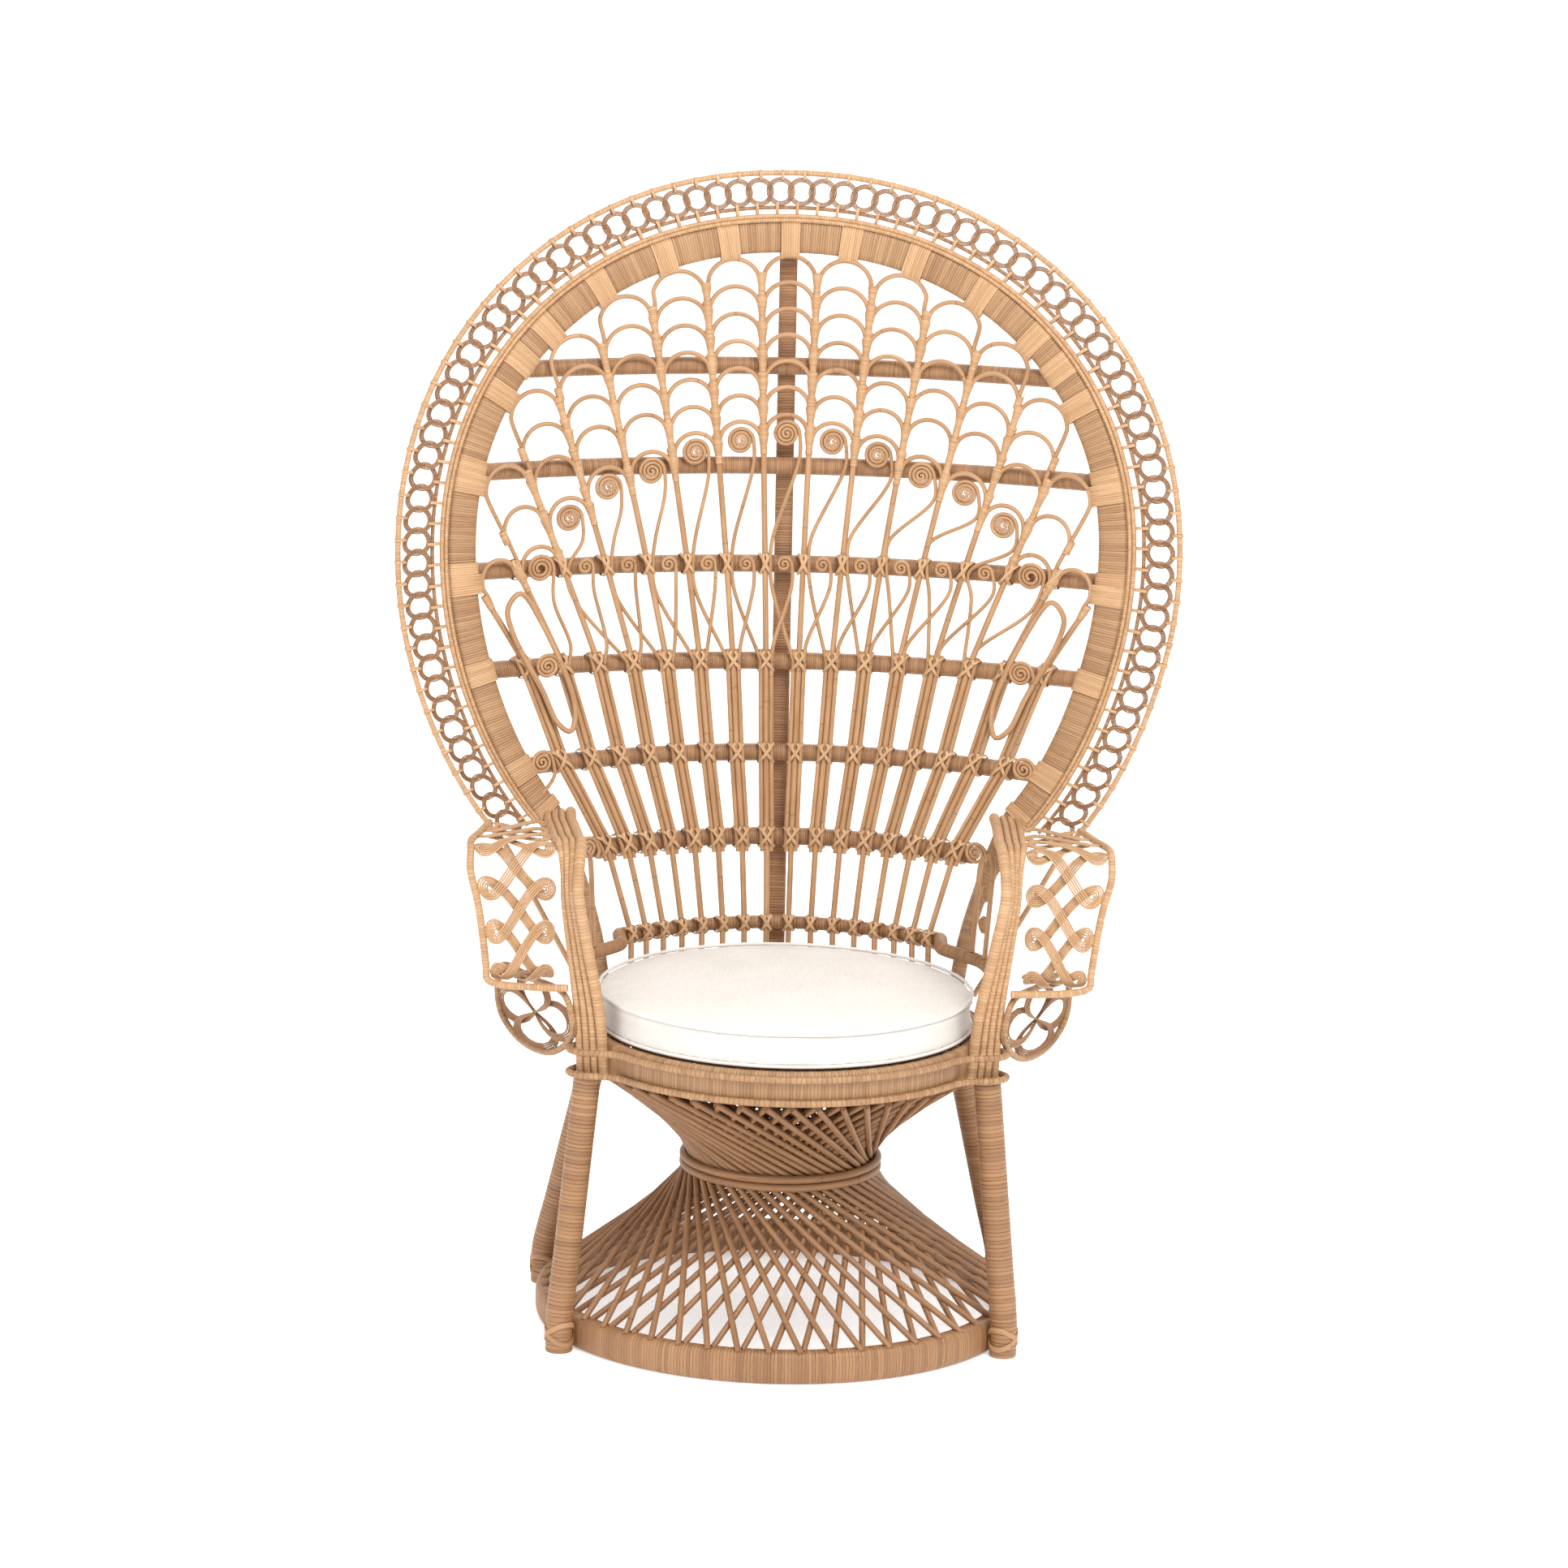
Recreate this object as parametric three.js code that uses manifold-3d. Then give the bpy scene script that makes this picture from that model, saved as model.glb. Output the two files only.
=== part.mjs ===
// A peacock chair in rattan: a tall fan back on a round seat, rolled lace arms and an hourglass base.
// Millimetres, +Z up. The sitter faces -Y, and +X is to the right of a viewer in front of the chair.
import * as THREE from 'three';
import { mergeVertices } from 'three/addons/utils/BufferGeometryUtils.js';
import Module from 'manifold-3d';

const wasm = await Module();
wasm.setup();

// Driving dimensions

const gap = 0.3;
const overrun = 4;
const probe = 1;

const seat = {
  top: 404,
  apronHeight: 46,
  apronWall: 18,
  outerRadius: 258,
  panelThickness: 8,
  rodRadius: 4.5,
  rodInset: 8,
  wrapSlack: 3,
};

const cushion = {
  radius: 243,
  sideHeight: 40,
  crown: 9,
  waistDraw: 5,
  cordRadius: 3,
};

const base = {
  ringRadius: 314,
  ringHeight: 43,
  ringWidth: 28,
  ringRounding: 7,
  setBack: 40,
  waistHeight: 218,
  waistRadius: 117,
  strandRadius: 4.8,
  layerStep: 16.5,
  hoopRadius: 5.4,
  hoopStandoff: 1.2,
  strandCount: 17,
};

const legs = {
  radius: 18,
  top: 362,
  frontHalfSpread: 261,
  frontForward: 115,
  rearHalfSpread: 230,
  rearBack: 158,
  frontFootHalfSpread: 287,
  rearFootHalfSpread: 301,
};

// The back leans, curls forward at the wings and wraps round the seat low down.
const back = {
  rearDepth: 253,
  lean: 156,
  leanHeight: 1050,
  wingHalfWidth: 410,
  wingForward: 100,
  wrapHalfWidth: 200,
  wrapForward: 78,
  wrapStartHeight: 850,
};

// Insets are measured from the outer edge of the rim, across the face of the back.
const hoop = {
  halfWidth: 512,
  widestHeight: 982,
  rise: 473,
  bandWidth: 39,
  bandThickness: 16,
  bandRecess: 4,
  beadRadius: 3.2,
  innerRodInset: 53.1,
  innerRodRadius: 2.6,
  rimRadius: 4.2,
  ringPitch: 27.6,
  ringCaneRadius: 2.4,
  ringTilt: 4.5,
  postWidth: 20,
  postDepth: 30,
};

const beadInset = hoop.innerRodInset + hoop.innerRodRadius + gap + 2 * hoop.beadRadius;
const bandInset = beadInset + 2 * hoop.beadRadius + gap + hoop.bandWidth / 2;
const bandEdgeInset = bandInset + hoop.bandWidth / 2;

const rails = {
  radius: 12,
  lowRadius: 9,
  standoff: 1.4,
  postTuck: 0.7,
  sideRadius: 262,
};

const stakes = {
  perSide: 8,
  radius: 5,
  bundleHalfWidth: 10,
  taper: 14,
};

const canes = {
  archRadius: 3.2,
  tailRadius: 3.6,
  coilRadius: 2.1,
  coilPitch: 6.2,
  bigCoil: 19.5,
  smallCoil: 12.2,
  sideCoil: 16.5,
  coilDrop: 25,
  legDrop: 26,
  loopRadius: 4,
  loopStandoff: 0.8,
  loopTop: 912,
  loopBottom: 730,
  fuse: 3,
};

const arms = {
  frameWidth: 46,
  frameThickness: 15,
  kneeHalfSpread: 274,
  kneeForward: 104,
  kneeRadius: 48,
  shoulderBack: 150,
  shoulderHeight: 634,
  topHeight: 652,
  frontForward: 84,
  cornerRadius: 32,
  laceBottom: 492,
  laceHalfSpread: 408,
  laceBottomHalfSpread: 386,
  rimRadius: 5,
  laceCaneRadius: 3,
  laceLoops: 7,
  laceLoopReach: 30,
  laceTilt: 6.4,
  laceRear: 116,
  rearHalfSpread: 384,
  shoulderHalfSpread: 292,
  wingRodRadius: 4.5,
  wingTuck: 0.6,
  hairpinBack: 64,
  hairpinWidth: 36,
  hairpinTop: 612,
  hairpinLean: 8,
  wingHalfSpread: 356,
  wingBack: 40,
  wingTop: 462,
  wingBottom: 380,
};

// Shares: pure numbers

const upperRoundness = 2.15;
const lowerRoundness = 2;
const hoopDropShare = 0.9343;
const dropSlantShare = 0.44;
const hoopEndAngle = THREE.MathUtils.degToRad(134);
const upperTwist = THREE.MathUtils.degToRad(62);
const lowerTwist = THREE.MathUtils.degToRad(54);
const archRiseShare = 0.32;
const archHalfAngle = THREE.MathUtils.degToRad(68);
const approachShare = 0.7;
const coilTurns = { big: 1.84, small: 1, side: 1.67 };
// Where the rails cross the back, from the seat to the top of the hoop.
const railShares = [0.0647, 0.1722, 0.2769, 0.3911, 0.5119, 0.6337, 0.7574];
// How far apart the stakes stand at the seat and at each rail, against half the width of the hoop.
const stakePitchShares = [0.0576, 0.0576, 0.0641, 0.0754, 0.0846, 0.0986, 0.1143, 0.1299];
// How much the outer stakes splay at the seat and at each rail.
const splayShares = [-0.0021, -0.0021, -0.0012, 0, 0.0007, 0.0017, 0.0021, 0.0025];
// Rows of arches over each column of the fan, counted outward from the middle one.
const archRows = [7, 7, 7, 6, 5, 4, 3, 1];
// The oval side loops, as a number of stakes from the last gap and a rise from their lower end.
const loopShares = [
  [0, 0],
  [0.3, 0.06],
  [0.4, 0.3],
  [0.42, 0.72],
  [0.2, 0.9],
  [-0.25, 1],
  [-0.4, 0.8],
  [-0.4, 0.18],
];
// How far apart the rows stand, against the height of the back.
const archPitchShares = [0.03235, 0.03368, 0.03349, 0.03663, 0.03758, 0.04091, 0.05138, 0];
const coilArchPitchShares = [0.03425, 0.03235, 0.03235, 0.04567, 0.05043, 0.05138, 0.04948, 0];
// The rear post below the hoop: how far down its sections stand, and how soon it has turned edge-on.
const postShares = [0.12, 0.28, 0.5, 0.76, 1];
const postTurnShare = 0.4;
const rimFootShares = [0.35, 0.7, 1];
// The crown of the cushion, as shares of its radius and of its rise.
const crownShares = [
  [0.9, 0.35],
  [0.7, 0.75],
  [0.4, 0.95],
  [0, 1],
];
const lowRailShares = [-1, -0.75, -0.5, -0.25, 0, 0.25, 0.5, 0.75, 1];
const lowRailSideShares = [0.45, 0.75, 1];
const armShares = [0.35, 0.7, 1];
const hairpinCoilShares = [0.3, 0.62];
// The rod round an arm wing, as shares of its width and height, and the reach of its petals.
const wingShares = [
  [0.06, 0.95],
  [0, 0.65],
  [0.04, 0.36],
  [0.3, 0],
  [0.7, 0],
  [0.95, 0.3],
  [1, 0.65],
  [0.94, 1],
  [0.5, 1],
];
const petalShare = 0.42;
const petalWidthShare = 0.52;
const petalHeightShare = 0.56;
const petalLiftShare = 0.8;
const petalCaneShare = 0.7;

// Counts

const petals = 4;
const wrapTurns = [-84, -28, 28, 84];
const kneeTurns = [0, 30, 60, 90];

// Heights on the back

const backTop = hoop.widestHeight + hoop.rise;
const backHeight = backTop - seat.top;
const hoopDrop = hoopDropShare * (hoop.widestHeight - seat.top);
const railHeights = railShares.map((share) => seat.top + share * backHeight);

// Materials

function finish(color, roughness = 0.6) {
  return new THREE.MeshStandardMaterial({ color, roughness, metalness: 0 });
}

const peel = finish(0xc99a66);
const cane = finish(0xcf9f6c, 0.55);
const shade = finish(0xb27c4c);
const cloth = finish(0xf3efe8, 0.9);

const chair = new THREE.Group();

function addPart(name, geometry, material) {
  const mesh = new THREE.Mesh(geometry, material.clone());
  mesh.name = name;
  chair.add(mesh);
  return mesh;
}

// Solids and booleans

function toSolid(geometry) {
  const bare = geometry.clone();
  bare.deleteAttribute('normal');
  bare.deleteAttribute('uv');
  const merged = mergeVertices(bare);
  const vertProperties = Float32Array.from(merged.attributes.position.array);
  const triVerts = Uint32Array.from(merged.index.array);
  return new wasm.Manifold(new wasm.Mesh({ numProp: 3, vertProperties, triVerts }));
}

function toGeometry(solid) {
  const mesh = solid.getMesh();
  const geometry = new THREE.BufferGeometry();
  geometry.setAttribute('position', new THREE.BufferAttribute(new Float32Array(mesh.vertProperties), 3));
  geometry.setIndex(new THREE.BufferAttribute(new Uint32Array(mesh.triVerts), 1));
  geometry.computeVertexNormals();
  return geometry;
}

function fused(geometries) {
  return toGeometry(geometries.map(toSolid).reduce((sum, next) => sum.add(next)));
}

function cutBy(geometry, tool) {
  const pieces = toSolid(geometry).subtract(toSolid(tool)).decompose();
  const largest = pieces.reduce((best, next) => (next.volume() > best.volume() ? next : best));
  return toGeometry(largest);
}

// Keep what lies between two level planes.
function levelled(geometry, low, high) {
  return toGeometry(toSolid(geometry).trimByPlane([0, 0, 1], low).trimByPlane([0, 0, -1], -high));
}

// The least clear distance between turns of a wound cane, measured between points along it.
function leastGap(points, radius, apart) {
  const fine = points.slice(1).flatMap((point, place) => {
    return [0.25, 0.5, 0.75, 1].map((share) => points[place].clone().lerp(point, share));
  });
  let least = Infinity;
  for (let one = 0; one < fine.length; one++) {
    for (let other = one + 4 * apart; other < fine.length; other++) {
      least = Math.min(least, fine[one].distanceTo(fine[other]) - 2 * radius);
    }
  }
  return least;
}

// Lofts: rings of points joined in order, with ends closed by flat fans unless the loft is a loop.

function loft(rings, isLoop = false) {
  const sides = rings[0].length;
  const positions = rings.flat().flatMap((point) => [point.x, point.y, point.z]);
  const index = [];
  const spans = isLoop ? rings.length : rings.length - 1;
  for (let ring = 0; ring < spans; ring++) {
    const next = (ring + 1) % rings.length;
    for (let side = 0; side < sides; side++) {
      const other = (side + 1) % sides;
      const corners = [ring * sides + side, ring * sides + other, next * sides + other, next * sides + side];
      index.push(corners[0], corners[1], corners[2], corners[0], corners[2], corners[3]);
    }
  }
  const last = (rings.length - 1) * sides;
  for (let side = 1; !isLoop && side < sides - 1; side++) {
    index.push(0, side + 1, side, last, last + side, last + side + 1);
  }
  const geometry = new THREE.BufferGeometry();
  geometry.setAttribute('position', new THREE.Float32BufferAttribute(positions, 3));
  geometry.setIndex(index);
  geometry.computeVertexNormals();
  return geometry;
}

function tangentAt(points, place, isLoop) {
  const count = points.length;
  const before = isLoop ? (place + count - 1) % count : Math.max(place - 1, 0);
  const after = isLoop ? (place + 1) % count : Math.min(place + 1, count - 1);
  return points[after].clone().sub(points[before]).normalize();
}

// A section of [across, through] pairs is carried along points. The normals say which way through faces.
function sweep(points, normals, sectionAt, isLoop = false) {
  const rings = points.map((point, place) => {
    const tangent = tangentAt(points, place, isLoop);
    const across = new THREE.Vector3().crossVectors(normals[place], tangent).normalize();
    const through = new THREE.Vector3().crossVectors(tangent, across).normalize();
    return sectionAt(place).map(([a, t]) => {
      return point.clone().addScaledVector(across, a).addScaledVector(through, t);
    });
  });
  return loft(rings, isLoop);
}

function roundSection(radius, sides) {
  const turned = sides % 2 === 0 ? 0 : 0.5;
  return Array.from({ length: sides }, (_, side) => {
    const angle = ((side + turned) / sides) * 2 * Math.PI;
    return [radius * Math.cos(angle), radius * Math.sin(angle)];
  });
}

function rod(points, normals, radius, sides, isLoop = false) {
  const radiusAt = typeof radius === 'function' ? radius : () => radius;
  return sweep(points, normals, (place) => roundSection(radiusAt(place), sides), isLoop);
}

function sameNormals(points, normal) {
  return points.map(() => normal);
}

const up = new THREE.Vector3(0, 0, 1);
const front = new THREE.Vector3(0, -1, 0);

// A round bar of one thickness along a smooth curve.
function bar(points, radius, sides, steps) {
  const outline = new THREE.Shape(roundSection(radius, sides).map(([x, y]) => new THREE.Vector2(x, y)));
  const extrudePath = new THREE.CatmullRomCurve3(points, false, 'centripetal');
  return new THREE.ExtrudeGeometry(outline, { steps, extrudePath });
}

// The face of the back

function wrapAmount(z) {
  const rise = (back.wrapStartHeight - z) / (back.wrapStartHeight - seat.top);
  return Math.max(rise, 0) ** 2;
}

function backDepth(x, z) {
  const lean = (back.lean * (z - seat.top)) / back.leanHeight;
  const wing = back.wingForward * (x / back.wingHalfWidth) ** 2;
  const wrap = back.wrapForward * (x / back.wrapHalfWidth) ** 2 * wrapAmount(z);
  return back.rearDepth + lean - wing - wrap;
}

function backNormal(x, z) {
  const slopeX = (backDepth(x + probe, z) - backDepth(x - probe, z)) / (2 * probe);
  const slopeZ = (backDepth(x, z + probe) - backDepth(x, z - probe)) / (2 * probe);
  return new THREE.Vector3(slopeX, -1, slopeZ).normalize();
}

function backPoint(x, z, forward = 0) {
  return new THREE.Vector3(x, backDepth(x, z), z).addScaledVector(backNormal(x, z), forward);
}

function backRod(places, radius, sides, forward = 0) {
  const points = places.map(([x, z]) => backPoint(x, z, forward));
  const normals = places.map(([x, z]) => backNormal(x, z));
  return rod(points, normals, radius, sides);
}

// The outline of the hoop, as [x, z], at an angle from its top and an inset from its outer edge.
function hoopPlace(angle, inset) {
  const sine = Math.sin(angle);
  const cosine = Math.cos(angle);
  const halfWidth = hoop.halfWidth - inset;
  if (cosine < 0) {
    return [halfWidth * sine, hoop.widestHeight + (hoopDrop - dropSlantShare * inset) * cosine];
  }
  const power = 2 / upperRoundness;
  const x = halfWidth * Math.sign(sine) * Math.abs(sine) ** power;
  return [x, hoop.widestHeight + (hoop.rise - inset) * cosine ** power];
}

function hoopPlaces(inset, steps) {
  return Array.from({ length: steps + 1 }, (_, step) => {
    return hoopPlace(hoopEndAngle * ((2 * step) / steps - 1), inset);
  });
}

// Whether a place on the back lies inside the inner edge of the band by a clearance.
function isInside(x, z, clearance) {
  const inset = bandEdgeInset + clearance;
  const offset = z - hoop.widestHeight;
  const reach = offset > 0 ? hoop.rise - inset : hoopDrop - dropSlantShare * inset;
  const power = offset > 0 ? upperRoundness : lowerRoundness;
  return (Math.abs(x) / (hoop.halfWidth - inset)) ** power + (Math.abs(offset) / reach) ** power < 1;
}

// Hourglass base

function roundedRing(outerRadius, innerRadius, low, high, corner, segments) {
  const profile = [
    [outerRadius - corner, low],
    [outerRadius, low + corner],
    [outerRadius, high - corner],
    [outerRadius - corner, high],
    [innerRadius + corner, high],
    [innerRadius, high - corner],
    [innerRadius, low + corner],
    [innerRadius + corner, low],
  ];
  profile.push(profile[0]);
  const outline = profile.map(([radius, height]) => new THREE.Vector2(radius, height));
  const geometry = new THREE.LatheGeometry(outline, segments);
  geometry.rotateX(Math.PI / 2);
  return geometry;
}

function makeBase() {
  const inner = base.ringRadius - base.ringWidth;
  const ring = roundedRing(base.ringRadius, inner, 0, base.ringHeight, base.ringRounding, 22);
  addPart('base_ring', ring, peel).position.y = base.setBack;
  addPart('base_weave', makeWeave(), shade);
  addPart('base_weave_inner', makeInnerWeave(), shade);
  const rise = base.hoopRadius + gap / 2;
  ['waist_ring_lower', 'waist_ring_upper'].forEach((name, order) => {
    const height = base.waistHeight + (order === 0 ? -rise : rise);
    const reach = weaveRadius(height) + base.strandRadius + base.hoopStandoff + base.hoopRadius;
    addPart(name, waistHoop(reach, base.hoopRadius, 4), cane).position.set(0, axisBack(height), height);
  });
}

// Where the axis of the hourglass stands at a height: it drifts back from the seat to the base ring.
function axisBack(height) {
  const share = (seat.top - height) / seat.top;
  return base.setBack * share;
}

function waistHoop(radius, section, sides) {
  const segments = 20;
  return new THREE.TorusGeometry(radius / Math.cos(Math.PI / segments), section, sides, segments);
}

// Straight strands run from the seat to the waist and from the waist to the base ring.
const weaveStations = [
  [seat.top - seat.apronHeight, seat.outerRadius - seat.apronWall / 2, 0],
  [base.waistHeight, base.waistRadius, upperTwist],
  [base.ringHeight, base.ringRadius - base.ringWidth / 2 + base.strandRadius, upperTwist + lowerTwist],
];

function weavePlace(height) {
  const first = height > base.waistHeight ? 0 : 1;
  const [highZ, highR, highTwist] = weaveStations[first];
  const [lowZ, lowR, lowTwist] = weaveStations[first + 1];
  const share = (highZ - height) / (highZ - lowZ);
  const high = new THREE.Vector2(highR, 0).rotateAround(new THREE.Vector2(), highTwist);
  const low = new THREE.Vector2(lowR, 0).rotateAround(new THREE.Vector2(), lowTwist);
  return high.lerp(low, share);
}

function weaveRadius(height) {
  return weavePlace(height).length();
}

// A ring of strands through places given for each height, held by a hoop inside the waist.
function strandRing(heights, placeAt, hoopRadius) {
  const strands = [];
  for (let strand = 0; strand < base.strandCount; strand++) {
    const start = (strand / base.strandCount) * 2 * Math.PI;
    const points = heights.map((height) => {
      const place = placeAt(height).rotateAround(new THREE.Vector2(), start);
      return new THREE.Vector3(place.x, axisBack(height) + place.y, height);
    });
    const outward = points.map((point) => new THREE.Vector3(point.x, point.y - axisBack(point.z), 0).normalize());
    strands.push(rod(points, outward, base.strandRadius, 3));
  }
  const binder = waistHoop(hoopRadius, base.hoopRadius, 3);
  binder.translate(0, axisBack(base.waistHeight), base.waistHeight);
  return fused([binder, ...strands]);
}

function makeWeave() {
  const low = base.ringHeight + gap;
  const high = seat.top - seat.apronHeight - gap;
  const heights = [high + overrun, base.waistHeight, low - overrun];
  return levelled(strandRing(heights, weavePlace, base.waistRadius - base.strandRadius), low, high);
}

// A second layer inside the lower flare crosses the first and stands on the ring beside it.
function makeInnerWeave() {
  const low = base.ringHeight + gap;
  const top = base.waistHeight + 2 * base.hoopRadius;
  const placeAt = (height) => {
    const place = weavePlace(Math.min(height, base.waistHeight));
    const reach = place.length() - base.layerStep;
    const turn = upperTwist - (place.angle() - upperTwist);
    return new THREE.Vector2(reach, 0).rotateAround(new THREE.Vector2(), turn);
  };
  const ends = [base.waistHeight, low - overrun].map(placeAt);
  const straight = (height) => {
    const share = (base.waistHeight - height) / (base.waistHeight - low + overrun);
    return ends[0].clone().lerp(ends[1], share);
  };
  const heights = [base.waistHeight, low - overrun];
  return levelled(strandRing(heights, straight, base.waistRadius - base.layerStep), low, top);
}

// Legs

function footBack(halfSpread) {
  const reach = base.ringRadius + legs.radius + gap;
  return Math.sqrt(reach ** 2 - halfSpread ** 2);
}

const corners = [
  { name: 'front_left', side: -1, isFront: true },
  { name: 'front_right', side: 1, isFront: true },
  { name: 'rear_left', side: -1, isFront: false },
  { name: 'rear_right', side: 1, isFront: false },
].map((corner) => {
  const halfSpread = corner.isFront ? legs.frontHalfSpread : legs.rearHalfSpread;
  const y = corner.isFront ? -legs.frontForward : legs.rearBack;
  const footSpread = corner.isFront ? legs.frontFootHalfSpread : legs.rearFootHalfSpread;
  const footY = base.setBack + (corner.isFront ? -1 : 1) * footBack(footSpread);
  return { ...corner, x: corner.side * halfSpread, y, footX: corner.side * footSpread, footY };
});

// A leg is cut square to the floor at both ends, so each of its rings is level.
function makeLegs() {
  corners.forEach(({ name, x, y, footX, footY }) => {
    const heights = [0, base.ringHeight, legs.top];
    const rings = heights.map((height) => {
      const share = Math.max(height - base.ringHeight, 0) / (legs.top - base.ringHeight);
      const centreX = THREE.MathUtils.lerp(footX, x, share);
      const centreY = THREE.MathUtils.lerp(footY, y, share);
      return roundSection(legs.radius, 10).map(([a, b]) => new THREE.Vector3(centreX + a, centreY + b, height));
    });
    addPart(`leg_${name}`, loft(rings), peel);
  });
}

// Seat

function makeSeat() {
  const inner = seat.outerRadius - seat.apronWall;
  const low = seat.top - seat.apronHeight;
  const seatSegments = 30;
  const outline = [
    [seat.outerRadius, low],
    [seat.outerRadius, seat.top],
    [inner, seat.top],
    [inner, low],
    [seat.outerRadius, low],
  ].map(([radius, height]) => new THREE.Vector2(radius, height));
  addPart('seat_ring', new THREE.LatheGeometry(outline, seatSegments).rotateX(Math.PI / 2), peel);

  const panel = new THREE.CylinderGeometry(inner - gap, inner - gap, seat.panelThickness, seatSegments);
  panel.rotateX(Math.PI / 2);
  addPart('seat_panel', panel, shade).position.z = seat.top - seat.panelThickness / 2;

  const upperHeight = seat.top - seat.rodInset;
  const lowerHeight = seat.top - seat.apronHeight + seat.rodInset;
  addPart('seat_rod_upper', seatRod(upperHeight), cane);
  addPart('seat_rod_lower', seatRod(lowerHeight), cane);
}

const rearWrap = Math.hypot(hoop.postWidth, hoop.postDepth) / 2 + seat.wrapSlack + seat.rodRadius;

// A rod goes round the seat ring and swings out round each corner post.
function seatRod(height) {
  const near = seat.outerRadius + gap + seat.rodRadius;
  const frontWrap = Math.hypot(arms.frameWidth, arms.frameThickness) / 2 + gap + seat.rodRadius;
  const points = [];
  const arcSteps = 24;
  const reach = near / Math.cos(Math.PI / arcSteps);
  const ordered = corners
    .map((corner) => ({ ...corner, angle: Math.atan2(corner.y, corner.x) }))
    .map((corner) => ({ ...corner, angle: (corner.angle + 2 * Math.PI) % (2 * Math.PI) }))
    .sort((one, other) => one.angle - other.angle);
  for (let step = 0; step < arcSteps; step++) {
    const angle = (step / arcSteps) * 2 * Math.PI;
    const clear = ordered.every((corner) => {
      const wrap = corner.isFront ? frontWrap : rearWrap;
      const away = Math.abs(((angle - corner.angle + 3 * Math.PI) % (2 * Math.PI)) - Math.PI);
      return away * near > wrap + 2 * seat.rodRadius;
    });
    if (clear) {
      points.push({ angle, point: new THREE.Vector3(reach * Math.cos(angle), reach * Math.sin(angle), height) });
    }
  }
  for (const corner of ordered) {
    const wrap = (corner.isFront ? frontWrap : rearWrap) / Math.cos(Math.PI / 6);
    for (const turn of wrapTurns) {
      const angle = corner.angle + THREE.MathUtils.degToRad(turn);
      const x = corner.x + wrap * Math.cos(angle);
      const y = corner.y + wrap * Math.sin(angle);
      const place = (Math.atan2(y, x) + 2 * Math.PI) % (2 * Math.PI);
      points.push({ angle: place, point: new THREE.Vector3(x, y, height) });
    }
  }
  const path = points.sort((one, other) => one.angle - other.angle).map((entry) => entry.point);
  return rod(path, sameNormals(path, up), seat.rodRadius, 4, true);
}

// The loose round cushion: crowned top and bottom edges, sides drawn in between two corded seams.
function makeCushion() {
  const low = seat.top + gap;
  const side = cushion.sideHeight;
  const reach = cushion.radius;
  const draw = cushion.waistDraw;
  const cord = cushion.cordRadius;
  const outline = [
    [0, low],
    [reach - 4 * cord, low],
    [reach - cord, low + cord / 2],
    [reach, low + cord],
    [reach - draw / 2, low + 2 * cord],
    [reach - draw, low + side / 2],
    [reach - draw / 2, low + side - 2 * cord],
    [reach, low + side - cord],
    [reach - cord, low + side],
    ...crownShares.map(([out, rise]) => [reach * out, low + side + cushion.crown * rise]),
  ].map(([radius, height]) => new THREE.Vector2(radius, height));
  addPart('cushion', new THREE.LatheGeometry(outline, 24).rotateX(Math.PI / 2), cloth);
}

// Hoop of the back: a flat wrapped band that turns edge-on at each shoulder and runs down to the rear leg.

function bandPath(steps) {
  const places = hoopPlaces(bandInset, steps);
  const [endX, endHeight] = places[places.length - 1];
  const shoulderBack = backDepth(endX, endHeight);
  const foot = legs.top - overrun;
  const post = postShares.map((share) => {
    const ease = 1 - (1 - share) ** 2;
    return {
      x: THREE.MathUtils.lerp(endX, legs.rearHalfSpread, ease),
      y: THREE.MathUtils.lerp(shoulderBack, legs.rearBack, share),
      z: THREE.MathUtils.lerp(endHeight, foot, share),
      share: Math.min(share / postTurnShare, 1),
    };
  });
  const right = post.map(({ x, y, z, share }) => {
    const face = backNormal(x, Math.max(z, seat.top)).lerp(new THREE.Vector3(-1, 0, 0), share).normalize();
    return { point: new THREE.Vector3(x, y, z), face, share };
  });
  const left = right.map(({ point, face, share }) => ({
    point: new THREE.Vector3(-point.x, point.y, point.z),
    face: new THREE.Vector3(-face.x, face.y, face.z),
    share,
  }));
  const middle = places.map(([x, z]) => ({
    point: backPoint(x, z, -hoop.bandRecess),
    face: backNormal(x, z),
    share: 0,
  }));
  return [...left.reverse(), ...middle, ...right];
}

function bandSection(width, thickness) {
  const halfWidth = width / 2;
  const halfThickness = thickness / 2;
  return [
    [halfWidth, -halfThickness / 2],
    [halfWidth, halfThickness / 2],
    [halfWidth - halfThickness / 2, halfThickness],
    [halfThickness / 2 - halfWidth, halfThickness],
    [-halfWidth, halfThickness / 2],
    [-halfWidth, -halfThickness / 2],
    [halfThickness / 2 - halfWidth, -halfThickness],
    [halfWidth - halfThickness / 2, -halfThickness],
  ];
}

function bandSolid(clearance) {
  const path = bandPath(28);
  const points = path.map((entry) => entry.point);
  const normals = path.map((entry) => entry.face);
  return sweep(points, normals, (place) => {
    const { share } = path[place];
    const width = THREE.MathUtils.lerp(hoop.bandWidth, hoop.postDepth, share) + 2 * clearance;
    const thickness = THREE.MathUtils.lerp(hoop.bandThickness, hoop.postWidth, share) + 2 * clearance;
    return bandSection(width, thickness);
  });
}

// Two thin wrapped rods side by side, swept as one section.
function beadSection() {
  const radius = hoop.beadRadius;
  return [
    [2 * radius, 0],
    [radius, radius],
    [-radius, radius],
    [-2 * radius, 0],
    [-radius, -radius],
    [radius, -radius],
  ];
}

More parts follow.
